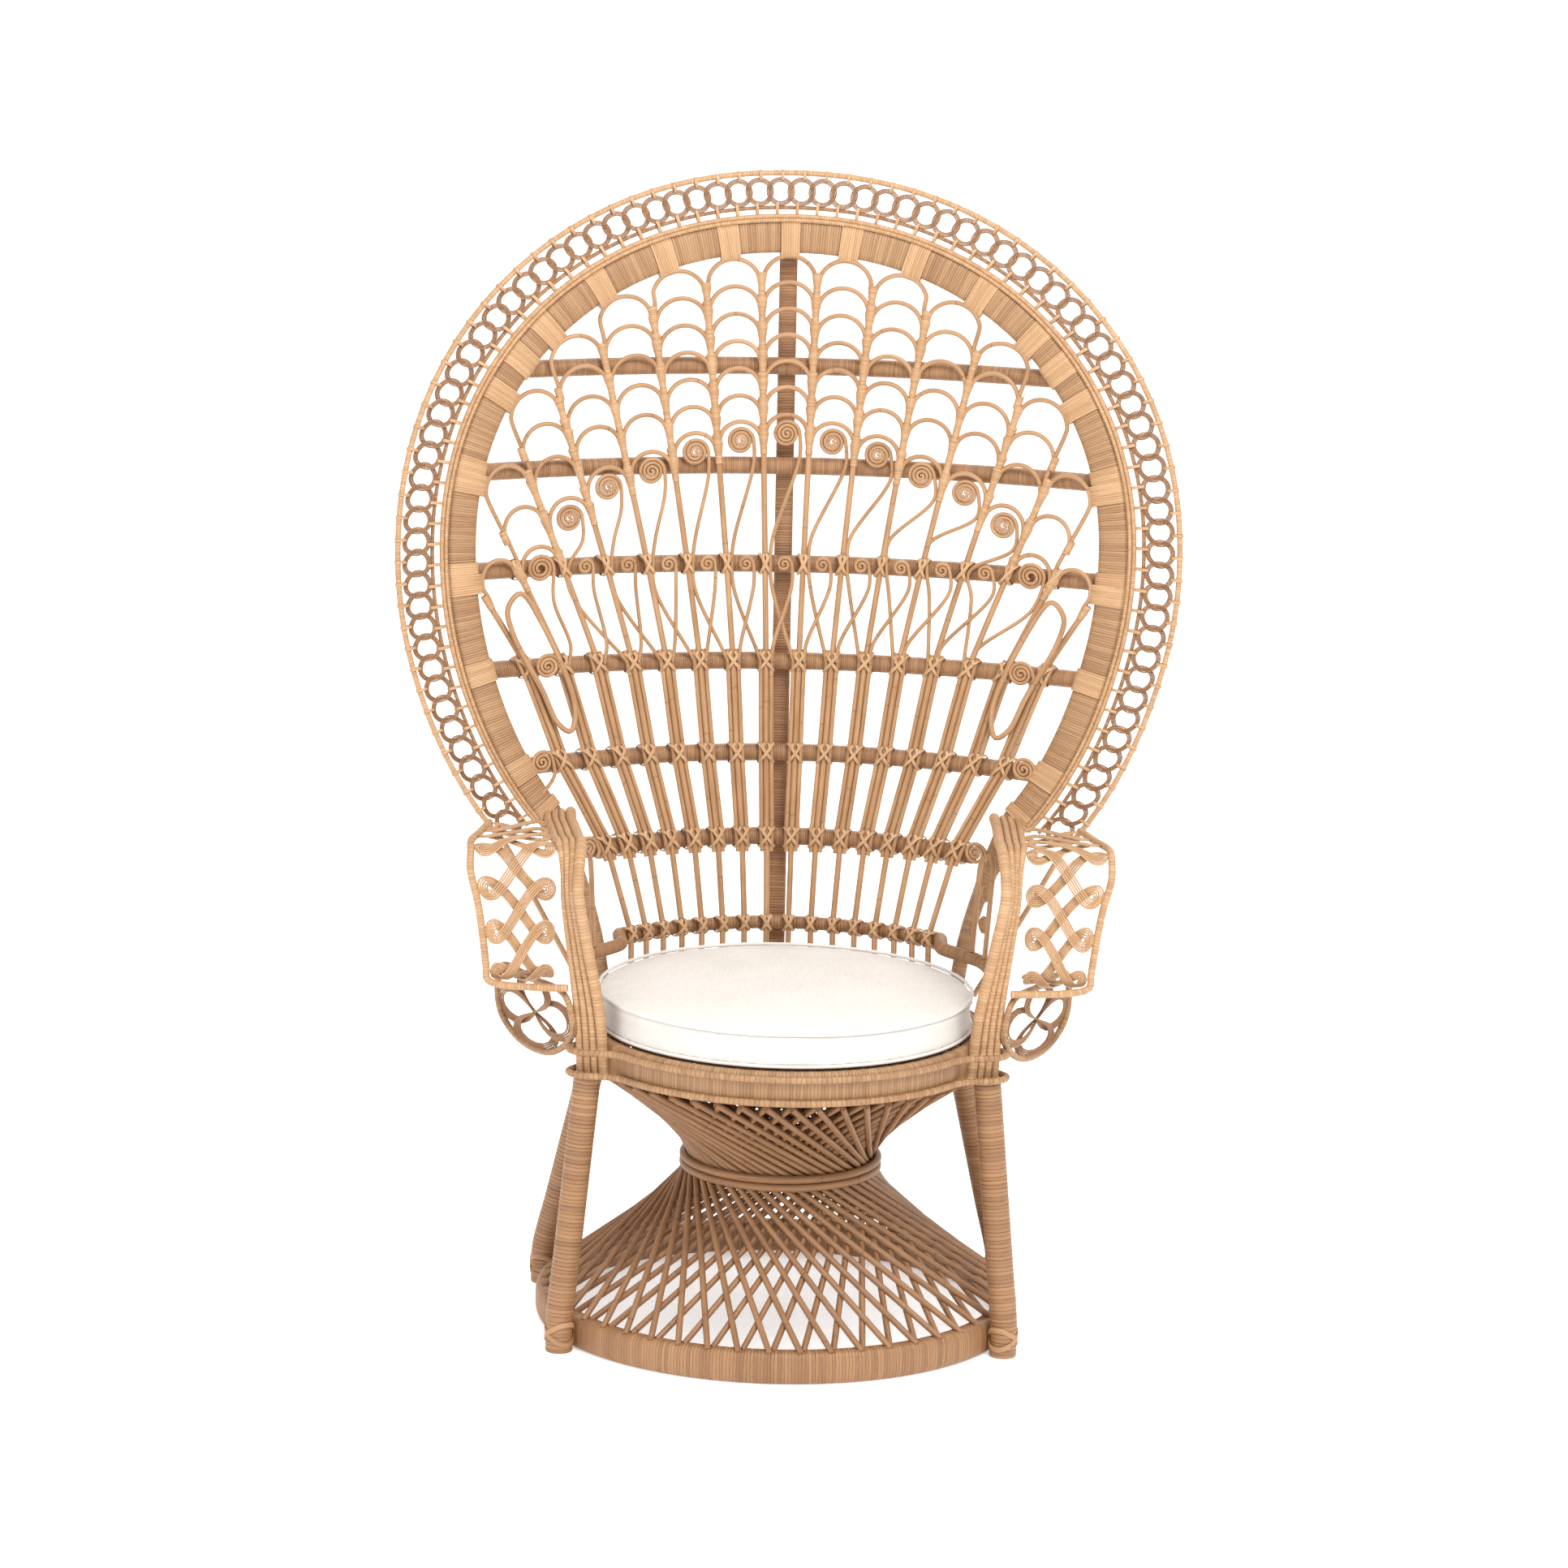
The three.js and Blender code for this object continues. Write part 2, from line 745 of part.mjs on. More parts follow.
function makeHoop() {
  addPart('back_hoop', levelled(bandSolid(0), legs.top + gap, backTop), peel);

  const beads = hoopPlaces(beadInset, 28);
  const beadPoints = beads.map(([x, z]) => backPoint(x, z));
  addPart('hoop_beads', sweep(beadPoints, beads.map(([x, z]) => backNormal(x, z)), beadSection), cane);

  const innerRod = hoopPlaces(hoop.innerRodInset, 28).map(([x, z]) => backPoint(x, z));
  addPart('border_inner_rod', bar(innerRod, hoop.innerRodRadius, 3, 28), cane);
  addPart('rim_rod', makeRim(), cane);
  addPart('border_rings', makeBorder(), cane);
}

// The rim runs on past the shoulders, down behind the arms, to the seat.
function makeRim() {
  const points = hoopPlaces(hoop.rimRadius, 32).map(([x, z]) => backPoint(x, z));
  const foot = new THREE.Vector3(legs.rearHalfSpread + rearWrap, legs.rearBack, seat.top - seat.rodInset);
  foot.z += seat.rodRadius + gap + hoop.rimRadius / 2;
  const last = points[points.length - 1];
  rimFootShares.forEach((share) => {
    const point = last.clone().lerp(foot, share);
    points.push(point);
    points.unshift(new THREE.Vector3(-point.x, point.y, point.z));
  });
  return bar(points, hoop.rimRadius, 4, 32);
}

// One cane wound in overlapping rings between the rim and the inner rod. Each ring lies over the one before.
function makeBorder() {
  const outer = 2 * hoop.rimRadius + gap + hoop.ringCaneRadius;
  const inner = hoop.innerRodInset - hoop.innerRodRadius - gap - hoop.ringCaneRadius;
  const middle = (outer + inner) / 2;
  const ringRadius = (inner - outer) / 2;
  const fine = hoopPlaces(middle, 400);
  const lengths = [0];
  for (let step = 1; step < fine.length; step++) {
    const span = Math.hypot(fine[step][0] - fine[step - 1][0], fine[step][1] - fine[step - 1][1]);
    lengths.push(lengths[step - 1] + span);
  }
  const total = lengths[lengths.length - 1];
  const ringCount = Math.round((total - 2 * ringRadius) / hoop.ringPitch);
  const stepsPerRing = 5;
  const angleAt = (length) => {
    const wanted = Math.min(Math.max(length, 0), total);
    let step = 1;
    while (step < lengths.length - 1 && lengths[step] < wanted) step++;
    const share = (wanted - lengths[step - 1]) / (lengths[step] - lengths[step - 1]);
    return hoopEndAngle * ((2 * (step - 1 + share)) / (fine.length - 1) - 1);
  };
  const points = [];
  const normals = [];
  for (let step = 0; step <= ringCount * stepsPerRing; step++) {
    const turn = (step / stepsPerRing) * 2 * Math.PI;
    const centre = ringRadius + ((total - 2 * ringRadius) * step) / (ringCount * stepsPerRing);
    const along = centre + ringRadius * Math.sin(turn);
    const [x, z] = hoopPlace(angleAt(along), middle + ringRadius * Math.cos(turn));
    points.push(backPoint(x, z, hoop.ringTilt * Math.sin(turn)));
    normals.push(backNormal(x, z));
  }
  console.log(`least gap in the border: ${leastGap(points, hoop.ringCaneRadius, 4).toFixed(2)} mm`);
  return rod(points, normals, hoop.ringCaneRadius, 3);
}

// Rails and centre post stand behind the stakes.

const railBehind = -(stakes.radius + rails.standoff + rails.radius);

function makeRails() {
  const hoopWithClearance = bandSolid(gap);
  railHeights.forEach((height, order) => {
    const isLow = order === 0;
    const radius = isLow ? rails.lowRadius : rails.radius;
    const geometry = isLow ? lowRail(height) : backRail(height, radius);
    addPart(`rail_${order + 1}`, isLow ? geometry : cutBy(geometry, hoopWithClearance), peel);
  });
}

function innerHalfWidth(height) {
  const halfWidth = hoop.halfWidth - bandInset;
  const offset = height - hoop.widestHeight;
  const reach = offset > 0 ? hoop.rise - bandInset : hoopDrop - dropSlantShare * bandInset;
  const power = offset > 0 ? upperRoundness : lowerRoundness;
  return halfWidth * (1 - (Math.abs(offset) / reach) ** power) ** (1 / power);
}

function backRail(height, radius) {
  const reach = innerHalfWidth(height);
  const steps = 8;
  const points = Array.from({ length: steps + 1 }, (_, step) => {
    const x = reach * ((2 * step) / steps - 1);
    return backPoint(x, height, railBehind);
  });
  return bar(points, radius, 5, steps);
}

// The lowest rail passes inside the rear posts and runs forward round the seat to the front posts.
function lowRail(height) {
  const points = lowRailPath(height);
  return rod(points, sameNormals(points, up), rails.lowRadius, 5);
}

function lowRailPath(height) {
  const radius = rails.lowRadius;
  const behind = -(stakes.radius + rails.standoff + radius);
  const inside = legs.rearHalfSpread - hoop.postWidth / 2 - 2 * gap - radius;
  const outer = stakeX(stakes.perSide - 0.5, height);
  const middle = lowRailShares.map((share) => backPoint(outer * share, height, behind));
  const postFront = legs.rearBack - hoop.postDepth / 2;
  const beside = new THREE.Vector3(inside, backDepth(outer, height), height);
  const post = new THREE.Vector3(inside, legs.rearBack, height);
  const clear = new THREE.Vector3(inside, postFront - radius, height);
  const end = frontForward(height) + arms.frameThickness / 2 + gap;
  const side = lowRailSideShares.map((share) => {
    const y = THREE.MathUtils.lerp(postFront, end, share);
    return new THREE.Vector3(Math.sqrt(rails.sideRadius ** 2 - y ** 2), y, height);
  });
  const right = [beside, post, clear, ...side];
  const left = right.map((point) => new THREE.Vector3(-point.x, point.y, point.z)).reverse();
  return [...left, ...middle, ...right];
}

function makeCentrePost() {
  const top = meetsBand(0, gap);
  const behind = railBehind - rails.radius - stakes.radius + rails.postTuck;
  const foot = seat.top + gap;
  const steps = 6;
  const heights = Array.from({ length: steps + 1 }, (_, step) => {
    return THREE.MathUtils.lerp(foot - overrun, top, step / steps);
  });
  const points = heights.map((height) => backPoint(0, height, behind));
  const normals = sameNormals(points, front);
  const section = bandSection(2 * rails.radius, 2 * stakes.radius);
  addPart('centre_post', levelled(sweep(points, normals, () => section), foot, top), peel);
}

// Fan

// A value at a height, from a table of values at the seat and at each rail.
function between(values, height) {
  const heights = [seat.top, ...railHeights];
  let place = 1;
  while (place < heights.length - 1 && heights[place] < height) place++;
  const share = (height - heights[place - 1]) / (heights[place] - heights[place - 1]);
  return values[place - 1] + (values[place] - values[place - 1]) * share;
}

// Where the stake numbered from the middle by a signed half number stands at a height.
function stakeX(number, height) {
  const pitch = hoop.halfWidth * between(stakePitchShares, height);
  const splay = between(splayShares, height);
  return number * pitch * (1 + splay * number ** 2);
}

// How much wider a leaning stake is along the level than straight across.
function leanFactor(number, height) {
  return Math.hypot(1, (stakeX(number, height + probe) - stakeX(number, height - probe)) / (2 * probe));
}

// The line just clear of the left side of a stake for a cane of a given radius.
function leftOfStake(number, height, radius) {
  return stakeX(number, height) - (stakes.radius + radius + gap) * leanFactor(number, height);
}

// The height where the line of a numbered stake meets the inner edge of the band.
function meetsBand(number, clearance) {
  let height = railHeights[3];
  while (isInside(stakeX(number, height), height, clearance)) height += probe;
  return height;
}

// A stake ends beside the feet of the highest arches that lean on it.
function stakeTop(number) {
  const band = meetsBand(number, gap + stakes.radius);
  const feet = [];
  [number, number - 1].forEach((left, order) => {
    if (Math.abs(Math.round(left + 0.5)) < archRows.length) {
      const places = archPlaces(left, left + 1, topCrown(left, left + 1));
      feet.push(places[order === 0 ? 0 : places.length - 1][1]);
    }
  });
  return feet.length > 0 ? Math.min(band, Math.max(...feet) + stakes.radius) : band;
}

function stakeRod(number) {
  const top = stakeTop(number);
  const foot = seat.top + gap;
  const [, second, , fourth] = railHeights;
  const wide = stakes.bundleHalfWidth / stakes.radius;
  const low = second - rails.radius - stakes.taper;
  const high = fourth + rails.radius;
  const stations = [
    [foot - overrun, 1],
    [railHeights[0], 1],
    [low, 1],
    [low + stakes.taper, wide],
    [high - stakes.taper, wide],
    [high, 1],
    ...railHeights.slice(4).map((height) => [height, 1]),
  ].filter(([height]) => height < top - stakes.taper);
  stations.push([top + overrun, 1]);
  const points = stations.map(([height]) => backPoint(stakeX(number, height), height));
  const normals = stations.map(([height]) => backNormal(stakeX(number, height), height));
  const stake = sweep(points, normals, (place) => {
    return roundSection(stakes.radius, 4).map(([a, t]) => [a * stations[place][1], t]);
  });
  return levelled(stake, foot, top);
}

// A flat spiral that winds in from its right-hand side, with the tail that leads up to it.
function coilWithTail(centreX, centreZ, radius, turns, tail, forward = 0) {
  const perTurn = 6;
  const places = tail.map(([x, z]) => [x, z]);
  const radii = tail.map(() => canes.tailRadius);
  const steps = Math.round(turns * perTurn);
  for (let step = 0; step <= steps; step++) {
    const angle = (step / perTurn) * 2 * Math.PI;
    const reach = radius - canes.coilRadius - (canes.coilPitch * step) / perTurn;
    places.push([centreX + reach * Math.cos(angle), centreZ + reach * Math.sin(angle)]);
    radii.push(canes.coilRadius);
  }
  const points = places.map(([x, z]) => backPoint(x, z, forward));
  coilGaps.push(leastGap(points.slice(tail.length), canes.coilRadius, perTurn / 2));
  return backRod(places, (place) => radii[place], 3, forward);
}

const coilGaps = [];

// The line of an arch: it joins the stake on its left and stops just short of the one on its right.
function archPlaces(left, right, crown) {
  const inner = (height) => stakeX(left, height) + stakes.radius / 2;
  const outer = (height) => leftOfStake(right, height, canes.archRadius);
  const width = outer(crown) - inner(crown);
  const rise = archRiseShare * width;
  const middle = (left + right) / 2;
  const slope = (stakeX(middle, crown) - stakeX(middle, crown - rise)) / rise;
  const steps = 4;
  const flat = Math.cos(archHalfAngle);
  return Array.from({ length: steps + 1 }, (_, step) => {
    const angle = archHalfAngle * ((2 * step) / steps - 1);
    const share = (1 + Math.sin(angle) / Math.sin(archHalfAngle)) / 2;
    const drop = (rise * (1 - Math.cos(angle))) / (1 - flat);
    const height = crown - drop - (share - 0.5) * slope * width;
    return [THREE.MathUtils.lerp(inner(height), outer(height), share), height];
  });
}

function archRod(left, right, crown) {
  return backRod(archPlaces(left, right, crown), canes.archRadius, 3);
}

// The highest arch of a column runs on down its outer stake.
function topArchRod(left, right, crown) {
  const places = archPlaces(left, right, crown);
  const inside = stakes.radius / 2;
  const [, leftFoot] = places[0];
  const [, rightFoot] = places[places.length - 1];
  const leftLow = leftFoot - canes.legDrop;
  const rightLow = rightFoot - canes.legDrop;
  if (left + right < 0) places.unshift([stakeX(left, leftLow) + inside, leftLow]);
  if (left + right > 0) places.push([leftOfStake(right, rightLow, canes.archRadius), rightLow]);
  return backRod(places, canes.archRadius, 3);
}

// The highest arch of a column is the one that just fits under the band.
function topCrown(left, right) {
  const clearance = gap + canes.archRadius;
  let crown = meetsBand((left + right) / 2, clearance);
  while (!archPlaces(left, right, crown).every(([x, z]) => isInside(x, z, clearance))) crown -= probe;
  return crown;
}

// The radius of a coil that has to fit between two stakes.
function coilBetween(left, right, height, wanted) {
  const width = (stakeX(right, height) - stakeX(left, height)) / leanFactor(right, height);
  return Math.min(wanted, width / 2 - stakes.radius - 2 * gap);
}

function columnCanes(left, right) {
  const middle = (left + right) / 2;
  const order = Math.abs(Math.round(middle));
  if (order >= archRows.length) return [];
  const pieces = [];
  const rows = archRows[order];
  const pitchOf = (row) => (row < rows - 1 ? archPitchShares : coilArchPitchShares)[order] * backHeight;
  let crown = topCrown(left, right);
  for (let row = 0; row < rows; row++) {
    if (row > 0) crown -= pitchOf(row);
    pieces.push((row > 0 ? archRod : topArchRod)(left, right, crown));
  }
  if (rows === 1) return pieces;

  const coilRail = railHeights[4];
  const low = railHeights[3] + rails.radius + gap;
  const leftAt = (height) => stakeX(left, height) + stakes.radius / 2;
  const rightAt = (height) => leftOfStake(right, height, canes.tailRadius);
  const below = (x, height, radius) => {
    const low = height - radius;
    return [Math.min(x + approachShare * radius, rightAt(low)), low];
  };
  const isEnd = order === archRows.length - 2;
  if (!isEnd) {
    const coilHeight = crown - canes.coilDrop;
    const coilX = stakeX(middle, coilHeight);
    const reach = coilBetween(left, right, coilHeight, canes.bigCoil);
    const isLow = coilHeight - coilRail < 2 * (canes.coilDrop + reach);
    const tail = [
      ...(isLow ? [] : [[rightAt(low) - gap, low]]),
      [leftAt(coilRail), coilRail],
      below(coilX, coilHeight, reach),
    ];
    pieces.push(coilWithTail(coilX, coilHeight, reach, coilTurns.big, tail));
  }
  const radius = coilBetween(left, right, coilRail, isEnd ? canes.bigCoil : canes.smallCoil);
  const centre = stakeX(middle, coilRail);
  const tail = [
    [leftAt(low), low],
    [leftAt(low + stakes.taper), low + stakes.taper],
    below(centre, coilRail, radius),
  ];
  pieces.push(coilWithTail(centre, coilRail, radius, isEnd ? coilTurns.big : coilTurns.small, tail));
  return pieces;
}

// Two coils outside the last stake of each side, beside the rails.
function sideCoils(number) {
  const side = Math.sign(number);
  return railHeights.slice(1, 3).map((height) => {
    const isLower = height === railHeights[1];
    const radius = isLower ? canes.smallCoil : canes.sideCoil;
    const turns = isLower ? coilTurns.small : coilTurns.side;
    const centre = stakeX(number, height) + side * (stakes.bundleHalfWidth + radius - canes.fuse);
    const tail = [
      [centre - radius / 2, height - 2 * radius],
      [centre + approachShare * radius, height - radius],
    ];
    return coilWithTail(centre, height, radius, turns, tail);
  });
}

// An oval cane loop over the last two stakes of each side, with a coil in its middle.
function sideLoop(side) {
  const last = stakes.perSide - 1;
  const radius = canes.loopRadius;
  const forward = stakes.radius + canes.loopStandoff + radius;
  const low = canes.loopBottom;
  const places = loopShares.map(([along, rise]) => {
    const height = THREE.MathUtils.lerp(low, canes.loopTop, rise);
    return [side * stakeX(last + along, height), height];
  });
  if (side < 0) places.reverse();
  const points = places.map(([x, z]) => backPoint(x, z, forward));
  const normals = places.map(([x, z]) => backNormal(x, z));
  const height = railHeights[3];
  const centre = side * stakeX(last, height);
  const tail = [
    [centre, height - 2 * canes.sideCoil],
    [centre + canes.sideCoil, height - canes.sideCoil],
  ];
  const reach = canes.sideCoil + radius;
  return fused([
    rod(points, normals, radius, 4, true),
    coilWithTail(centre, height, reach, coilTurns.side, tail, forward),
  ]);
}

function makeFan() {
  const hoopWithClearance = bandSolid(gap);
  const numbers = [];
  for (let order = stakes.perSide; order > 0; order--) numbers.push(0.5 - order);
  for (let order = 1; order <= stakes.perSide; order++) numbers.push(order - 0.5);
  numbers.forEach((number, place) => {
    const side = number < 0 ? 'left' : 'right';
    const name = `fan_${side}_${Math.abs(number) + 0.5}`;
    const pieces = [stakeRod(number)];
    if (place < numbers.length - 1) pieces.push(...columnCanes(number, numbers[place + 1]));
    if (Math.abs(number) > stakes.perSide - 1) pieces.push(...sideCoils(number));
    const isLast = Math.abs(number) > stakes.perSide - 1;
    addPart(name, isLast ? cutBy(fused(pieces), hoopWithClearance) : fused(pieces), cane);
  });
  addPart('side_loop_left', sideLoop(-1), cane);
  addPart('side_loop_right', sideLoop(1), cane);
  console.log(`highest arches: ${[0, 1, 2, 3, 4, 5, 6].map((m) => topCrown(m - 0.5, m + 0.5).toFixed(0))}`);
  console.log(`least gap in a coil: ${Math.min(...coilGaps).toFixed(2)} mm`);
}

// Arms: four wrapped rods rise from the front corner, bend back over the top and end at the shoulder.
// A strip of lace and its rim follow the same bend on the outside, and a small lace wing hangs below.

// One thick rod on the inside and three thinner ones beside it.
function bundleSection() {
  const half = arms.frameWidth / 2;
  const thick = arms.frameThickness / 2;
  const thin = (arms.frameWidth - arms.frameThickness) / 6;
  const valley = arms.frameThickness - half;
  const section = [
    [-half, 0],
    [thick - half, -thick],
    [valley, -thin / 2],
    [half - thin, -thin],
    [half, 0],
    [half - thin, thin],
    [valley, thin / 2],
    [thick - half, thick],
  ];
  return section.map(([a, t]) => [-a, t]).reverse();
}

function armTopHeight(y) {
  const share = THREE.MathUtils.clamp((y + arms.kneeForward) / (arms.shoulderBack + arms.kneeForward), 0, 1);
  return THREE.MathUtils.lerp(arms.topHeight, arms.shoulderHeight, share);
}

function frameHalfSpread(y) {
  const share = THREE.MathUtils.clamp((y + arms.kneeForward) / (arms.shoulderBack + arms.kneeForward), 0, 1);
  return THREE.MathUtils.lerp(arms.kneeHalfSpread, arms.shoulderHalfSpread, share);
}

// Where the front rods stand at a height below the knee.
function frontForward(height) {
  const kneeStart = arms.topHeight - arms.kneeRadius;
  return THREE.MathUtils.mapLinear(height, legs.top, kneeStart, -legs.frontForward, -arms.kneeForward);
}

function frontHalfSpread(height) {
  const kneeStart = arms.topHeight - arms.kneeRadius;
  return THREE.MathUtils.mapLinear(height, legs.top, kneeStart, legs.frontHalfSpread, arms.kneeHalfSpread);
}

function armFrame() {
  const foot = legs.top + gap;
  const radius = arms.kneeRadius;
  const kneeStart = arms.topHeight - radius;
  const points = [foot - overrun, (foot + kneeStart) / 2].map((height) => {
    return new THREE.Vector3(frontHalfSpread(height), frontForward(height), height);
  });
  for (const turn of kneeTurns) {
    const angle = THREE.MathUtils.degToRad(turn);
    const y = radius * (1 - Math.cos(angle)) - arms.kneeForward;
    points.push(new THREE.Vector3(frameHalfSpread(y), y, kneeStart + radius * Math.sin(angle)));
  }
  const rear = arms.shoulderBack + arms.frameWidth;
  for (const share of armShares) {
    const y = THREE.MathUtils.lerp(radius - arms.kneeForward, rear, share);
    points.push(new THREE.Vector3(frameHalfSpread(y), y, armTopHeight(y)));
  }
  const normals = points.map((_, place) => {
    return new THREE.Vector3(1, 0, 0).cross(tangentAt(points, place, false)).normalize();
  });
  const frame = sweep(points, normals, () => bundleSection());
  return levelled(frame, foot, arms.topHeight + arms.frameThickness);
}

// Side view of the lace from its rear end: along the top, round the front corner and down the front.
function laceProfile() {
  const { laceRear, frontForward, cornerRadius, laceBottom, topHeight } = arms;
  const cut = cornerRadius * (1 - Math.SQRT1_2);
  const start = cornerRadius - frontForward;
  const middle = (laceRear + start) / 2;
  return [
    [laceRear, armTopHeight(laceRear), arms.rearHalfSpread],
    [middle, armTopHeight(middle), (arms.rearHalfSpread + arms.laceHalfSpread) / 2],
    [start, armTopHeight(start), arms.laceHalfSpread],
    [cut - frontForward, topHeight - cut, arms.laceHalfSpread],
    [-frontForward, topHeight - cornerRadius, arms.laceHalfSpread],
    [-frontForward, (topHeight + laceBottom) / 2, (arms.laceHalfSpread + arms.laceBottomHalfSpread) / 2],
    [-frontForward, laceBottom, arms.laceBottomHalfSpread],
  ];
}

function rimCurve() {
  const points = laceProfile().map(([y, z, spread]) => new THREE.Vector3(spread, y, z));
  return new THREE.CatmullRomCurve3(points, false, 'centripetal');
}

function armRim() {
  const points = rimCurve().getSpacedPoints(10);
  const last = points.pop();
  const radius = arms.rimRadius;
  const seated = frontHalfSpread(last.z) + arms.frameWidth / 2 + 2 * gap;
  const end = new THREE.Vector3(seated, frontForward(last.z), last.z);
  points.push(last.clone().add(new THREE.Vector3(0, 0, arms.cornerRadius)));
  points.push(last.clone().add(new THREE.Vector3(-arms.cornerRadius, 0, 0)));
  points.push(end.clone().add(new THREE.Vector3(3 * radius, 0, 0)));
  points.push(end);
  return bar(points, radius, 4, 20);
}

// One cane looped along the strip, each loop as wide as the strip and laid over the one before.
function armLace() {
  const rim = rimCurve();
  const clear = arms.laceCaneRadius + gap;
  const total = rim.getLength();
  const reach = arms.laceLoopReach / total;
  const foot = (arms.rimRadius + 2 * clear + 2 * gap) / total;
  const stepsPerLoop = 6;
  const steps = arms.laceLoops * stepsPerLoop;
  const points = [];
  const normals = [];
  for (let step = 0; step <= steps; step++) {
    const turn = (step / stepsPerLoop) * 2 * Math.PI;
    const along = THREE.MathUtils.lerp(reach, 1 - reach - foot, step / steps) + reach * Math.sin(turn);
    const edge = rim.getPointAt(along);
    const normal = new THREE.Vector3(1, 0, 0).cross(rim.getTangentAt(along)).normalize();
    const inner = frameHalfSpread(edge.y) + arms.frameWidth / 2 + clear;
  const outer = edge.x - arms.rimRadius - clear - 3 * gap;
    edge.x = THREE.MathUtils.lerp(inner, outer, (1 + Math.cos(turn)) / 2);
    points.push(edge.addScaledVector(normal, arms.laceTilt * Math.sin(turn)));
    normals.push(normal);
  }
  console.log(`least gap in an arm lace: ${leastGap(points, arms.laceCaneRadius, 4).toFixed(2)} mm`);
  return rod(points, normals, arms.laceCaneRadius, 3);
}

// A D-shaped rod outside the front corner, filled with a looped rosette.
function armWing() {
  const at = (out, height) => {
    const z = THREE.MathUtils.lerp(arms.wingBottom, arms.wingTop, height);
    const nearX = frontHalfSpread(z) + arms.frameWidth / 2 + arms.wingRodRadius - arms.wingTuck;
    const x = THREE.MathUtils.lerp(nearX, arms.wingHalfSpread, out);
    return new THREE.Vector3(x, THREE.MathUtils.lerp(frontForward(z), arms.wingBack, out), z);
  };
  const across = at(1, 0).sub(at(0, 0)).normalize();
  const face = new THREE.Vector3().crossVectors(across, up).normalize();
  const points = wingShares.map(([out, height]) => at(out, height));
  const rim = rod(points, sameNormals(points, face), arms.wingRodRadius, 4, true);
  const stepsPerPetal = 5;
  const petalPoints = [];
  for (let step = 0; step < petals * stepsPerPetal; step++) {
    const turn = (step / stepsPerPetal) * 2 * Math.PI;
    const around = (step / (petals * stepsPerPetal)) * 2 * Math.PI;
    const reach = (1 + Math.cos(turn)) / 2 - (0.5 - petalShare) * Math.cos(turn);
    const swing = around + petalShare * Math.sin(turn);
    const out = 1 / 2 + petalWidthShare * reach * Math.cos(swing);
    const height = 1 / 2 + petalHeightShare * reach * Math.sin(swing);
    const lift = petalLiftShare * arms.wingRodRadius * Math.sin(turn);
    petalPoints.push(at(out, height).addScaledVector(face, lift));
  }
  const petalRadius = petalCaneShare * arms.laceCaneRadius;
  const rosette = rod(petalPoints, sameNormals(petalPoints, face), petalRadius, 3, true);
  return fused([rim, rosette]);
}

// A hairpin cane with two coils fills the side between the rear post and the front rods.
function sideCane() {
  const rail = lowRailPath(railHeights[0]).filter((point) => point.x > 0);
  const railX = (y) => {
    const place = rail.findIndex((point) => point.y < y);
    const [before, after] = [rail[place - 1], rail[place]];
    return THREE.MathUtils.lerp(before.x, after.x, (before.y - y) / (before.y - after.y));
  };
  const foot = railHeights[0] + rails.lowRadius + gap;
  const half = arms.hairpinWidth / 2;
  const top = arms.hairpinTop;
  const path = [[half, foot]];
  for (let step = 0; step <= 4; step++) {
    const angle = (step / 4) * Math.PI;
    path.push([half * Math.cos(angle), top - half + half * Math.sin(angle)]);
  }
  path.push([-half, foot]);
  const lean = arms.hairpinLean;
  const toPoint = ([along, z]) => {
    const y = arms.hairpinBack + along;
    const x = railX(y) + (lean * (z - foot)) / (top - foot);
    return new THREE.Vector3(x, y, z);
  };
  const points = path.map(toPoint);
  const sideways = new THREE.Vector3(1, 0, 0);
  const pieces = [rod(points, sameNormals(points, sideways), canes.tailRadius, 4)];
  for (const share of hairpinCoilShares) {
    const centreZ = THREE.MathUtils.lerp(foot, top, share);
    const radius = canes.smallCoil;
    const spiral = [];
    const steps = Math.round(coilTurns.small * 6);
    for (let step = 0; step <= steps; step++) {
      const angle = Math.PI - (step / 6) * 2 * Math.PI;
      const reach = radius - (canes.coilPitch * step) / 6;
      spiral.push([half + radius + reach * Math.cos(angle), centreZ + reach * Math.sin(angle)]);
    }
    const coil = spiral.map(toPoint);
    pieces.push(rod(coil, sameNormals(coil, sideways), canes.coilRadius, 3));
  }
  return fused(pieces);
}

function mirrored(geometry) {
  return toGeometry(toSolid(geometry).mirror([1, 0, 0]));
}

// Both arms are alike, so the left one mirrors the right. Each frame ends where it meets the hoop.
function makeArms() {
  const hoopWithClearance = bandSolid(gap);
  const frame = armFrame();
  addPart('arm_frame_right', cutBy(frame, hoopWithClearance), peel);
  addPart('arm_frame_left', cutBy(mirrored(frame), hoopWithClearance), peel);
  const pieces = [
    ['arm_rim', armRim(), cane],
    ['arm_lace', armLace(), cane],
    ['arm_wing', armWing(), cane],
    ['side_cane', sideCane(), cane],
  ];
  pieces.forEach(([name, geometry, material]) => {
    addPart(`${name}_right`, geometry, material);
    addPart(`${name}_left`, mirrored(geometry), material);
  });
}

makeBase();
makeLegs();
makeSeat();
makeCushion();
makeHoop();
makeRails();
makeCentrePost();
makeFan();
makeArms();

const box = new THREE.Box3().setFromObject(chair);
chair.position.y = -(box.min.y + box.max.y) / 2;
chair.updateMatrixWorld(true);

let triangles = 0;
chair.traverse((piece) => {
  if (piece.isMesh) {
    const count = (piece.geometry.index ? piece.geometry.index.count : piece.geometry.attributes.position.count) / 3;
    triangles += count;
  }
});
console.log(`${chair.children.length} pieces, ${triangles} triangles`);

export default chair;
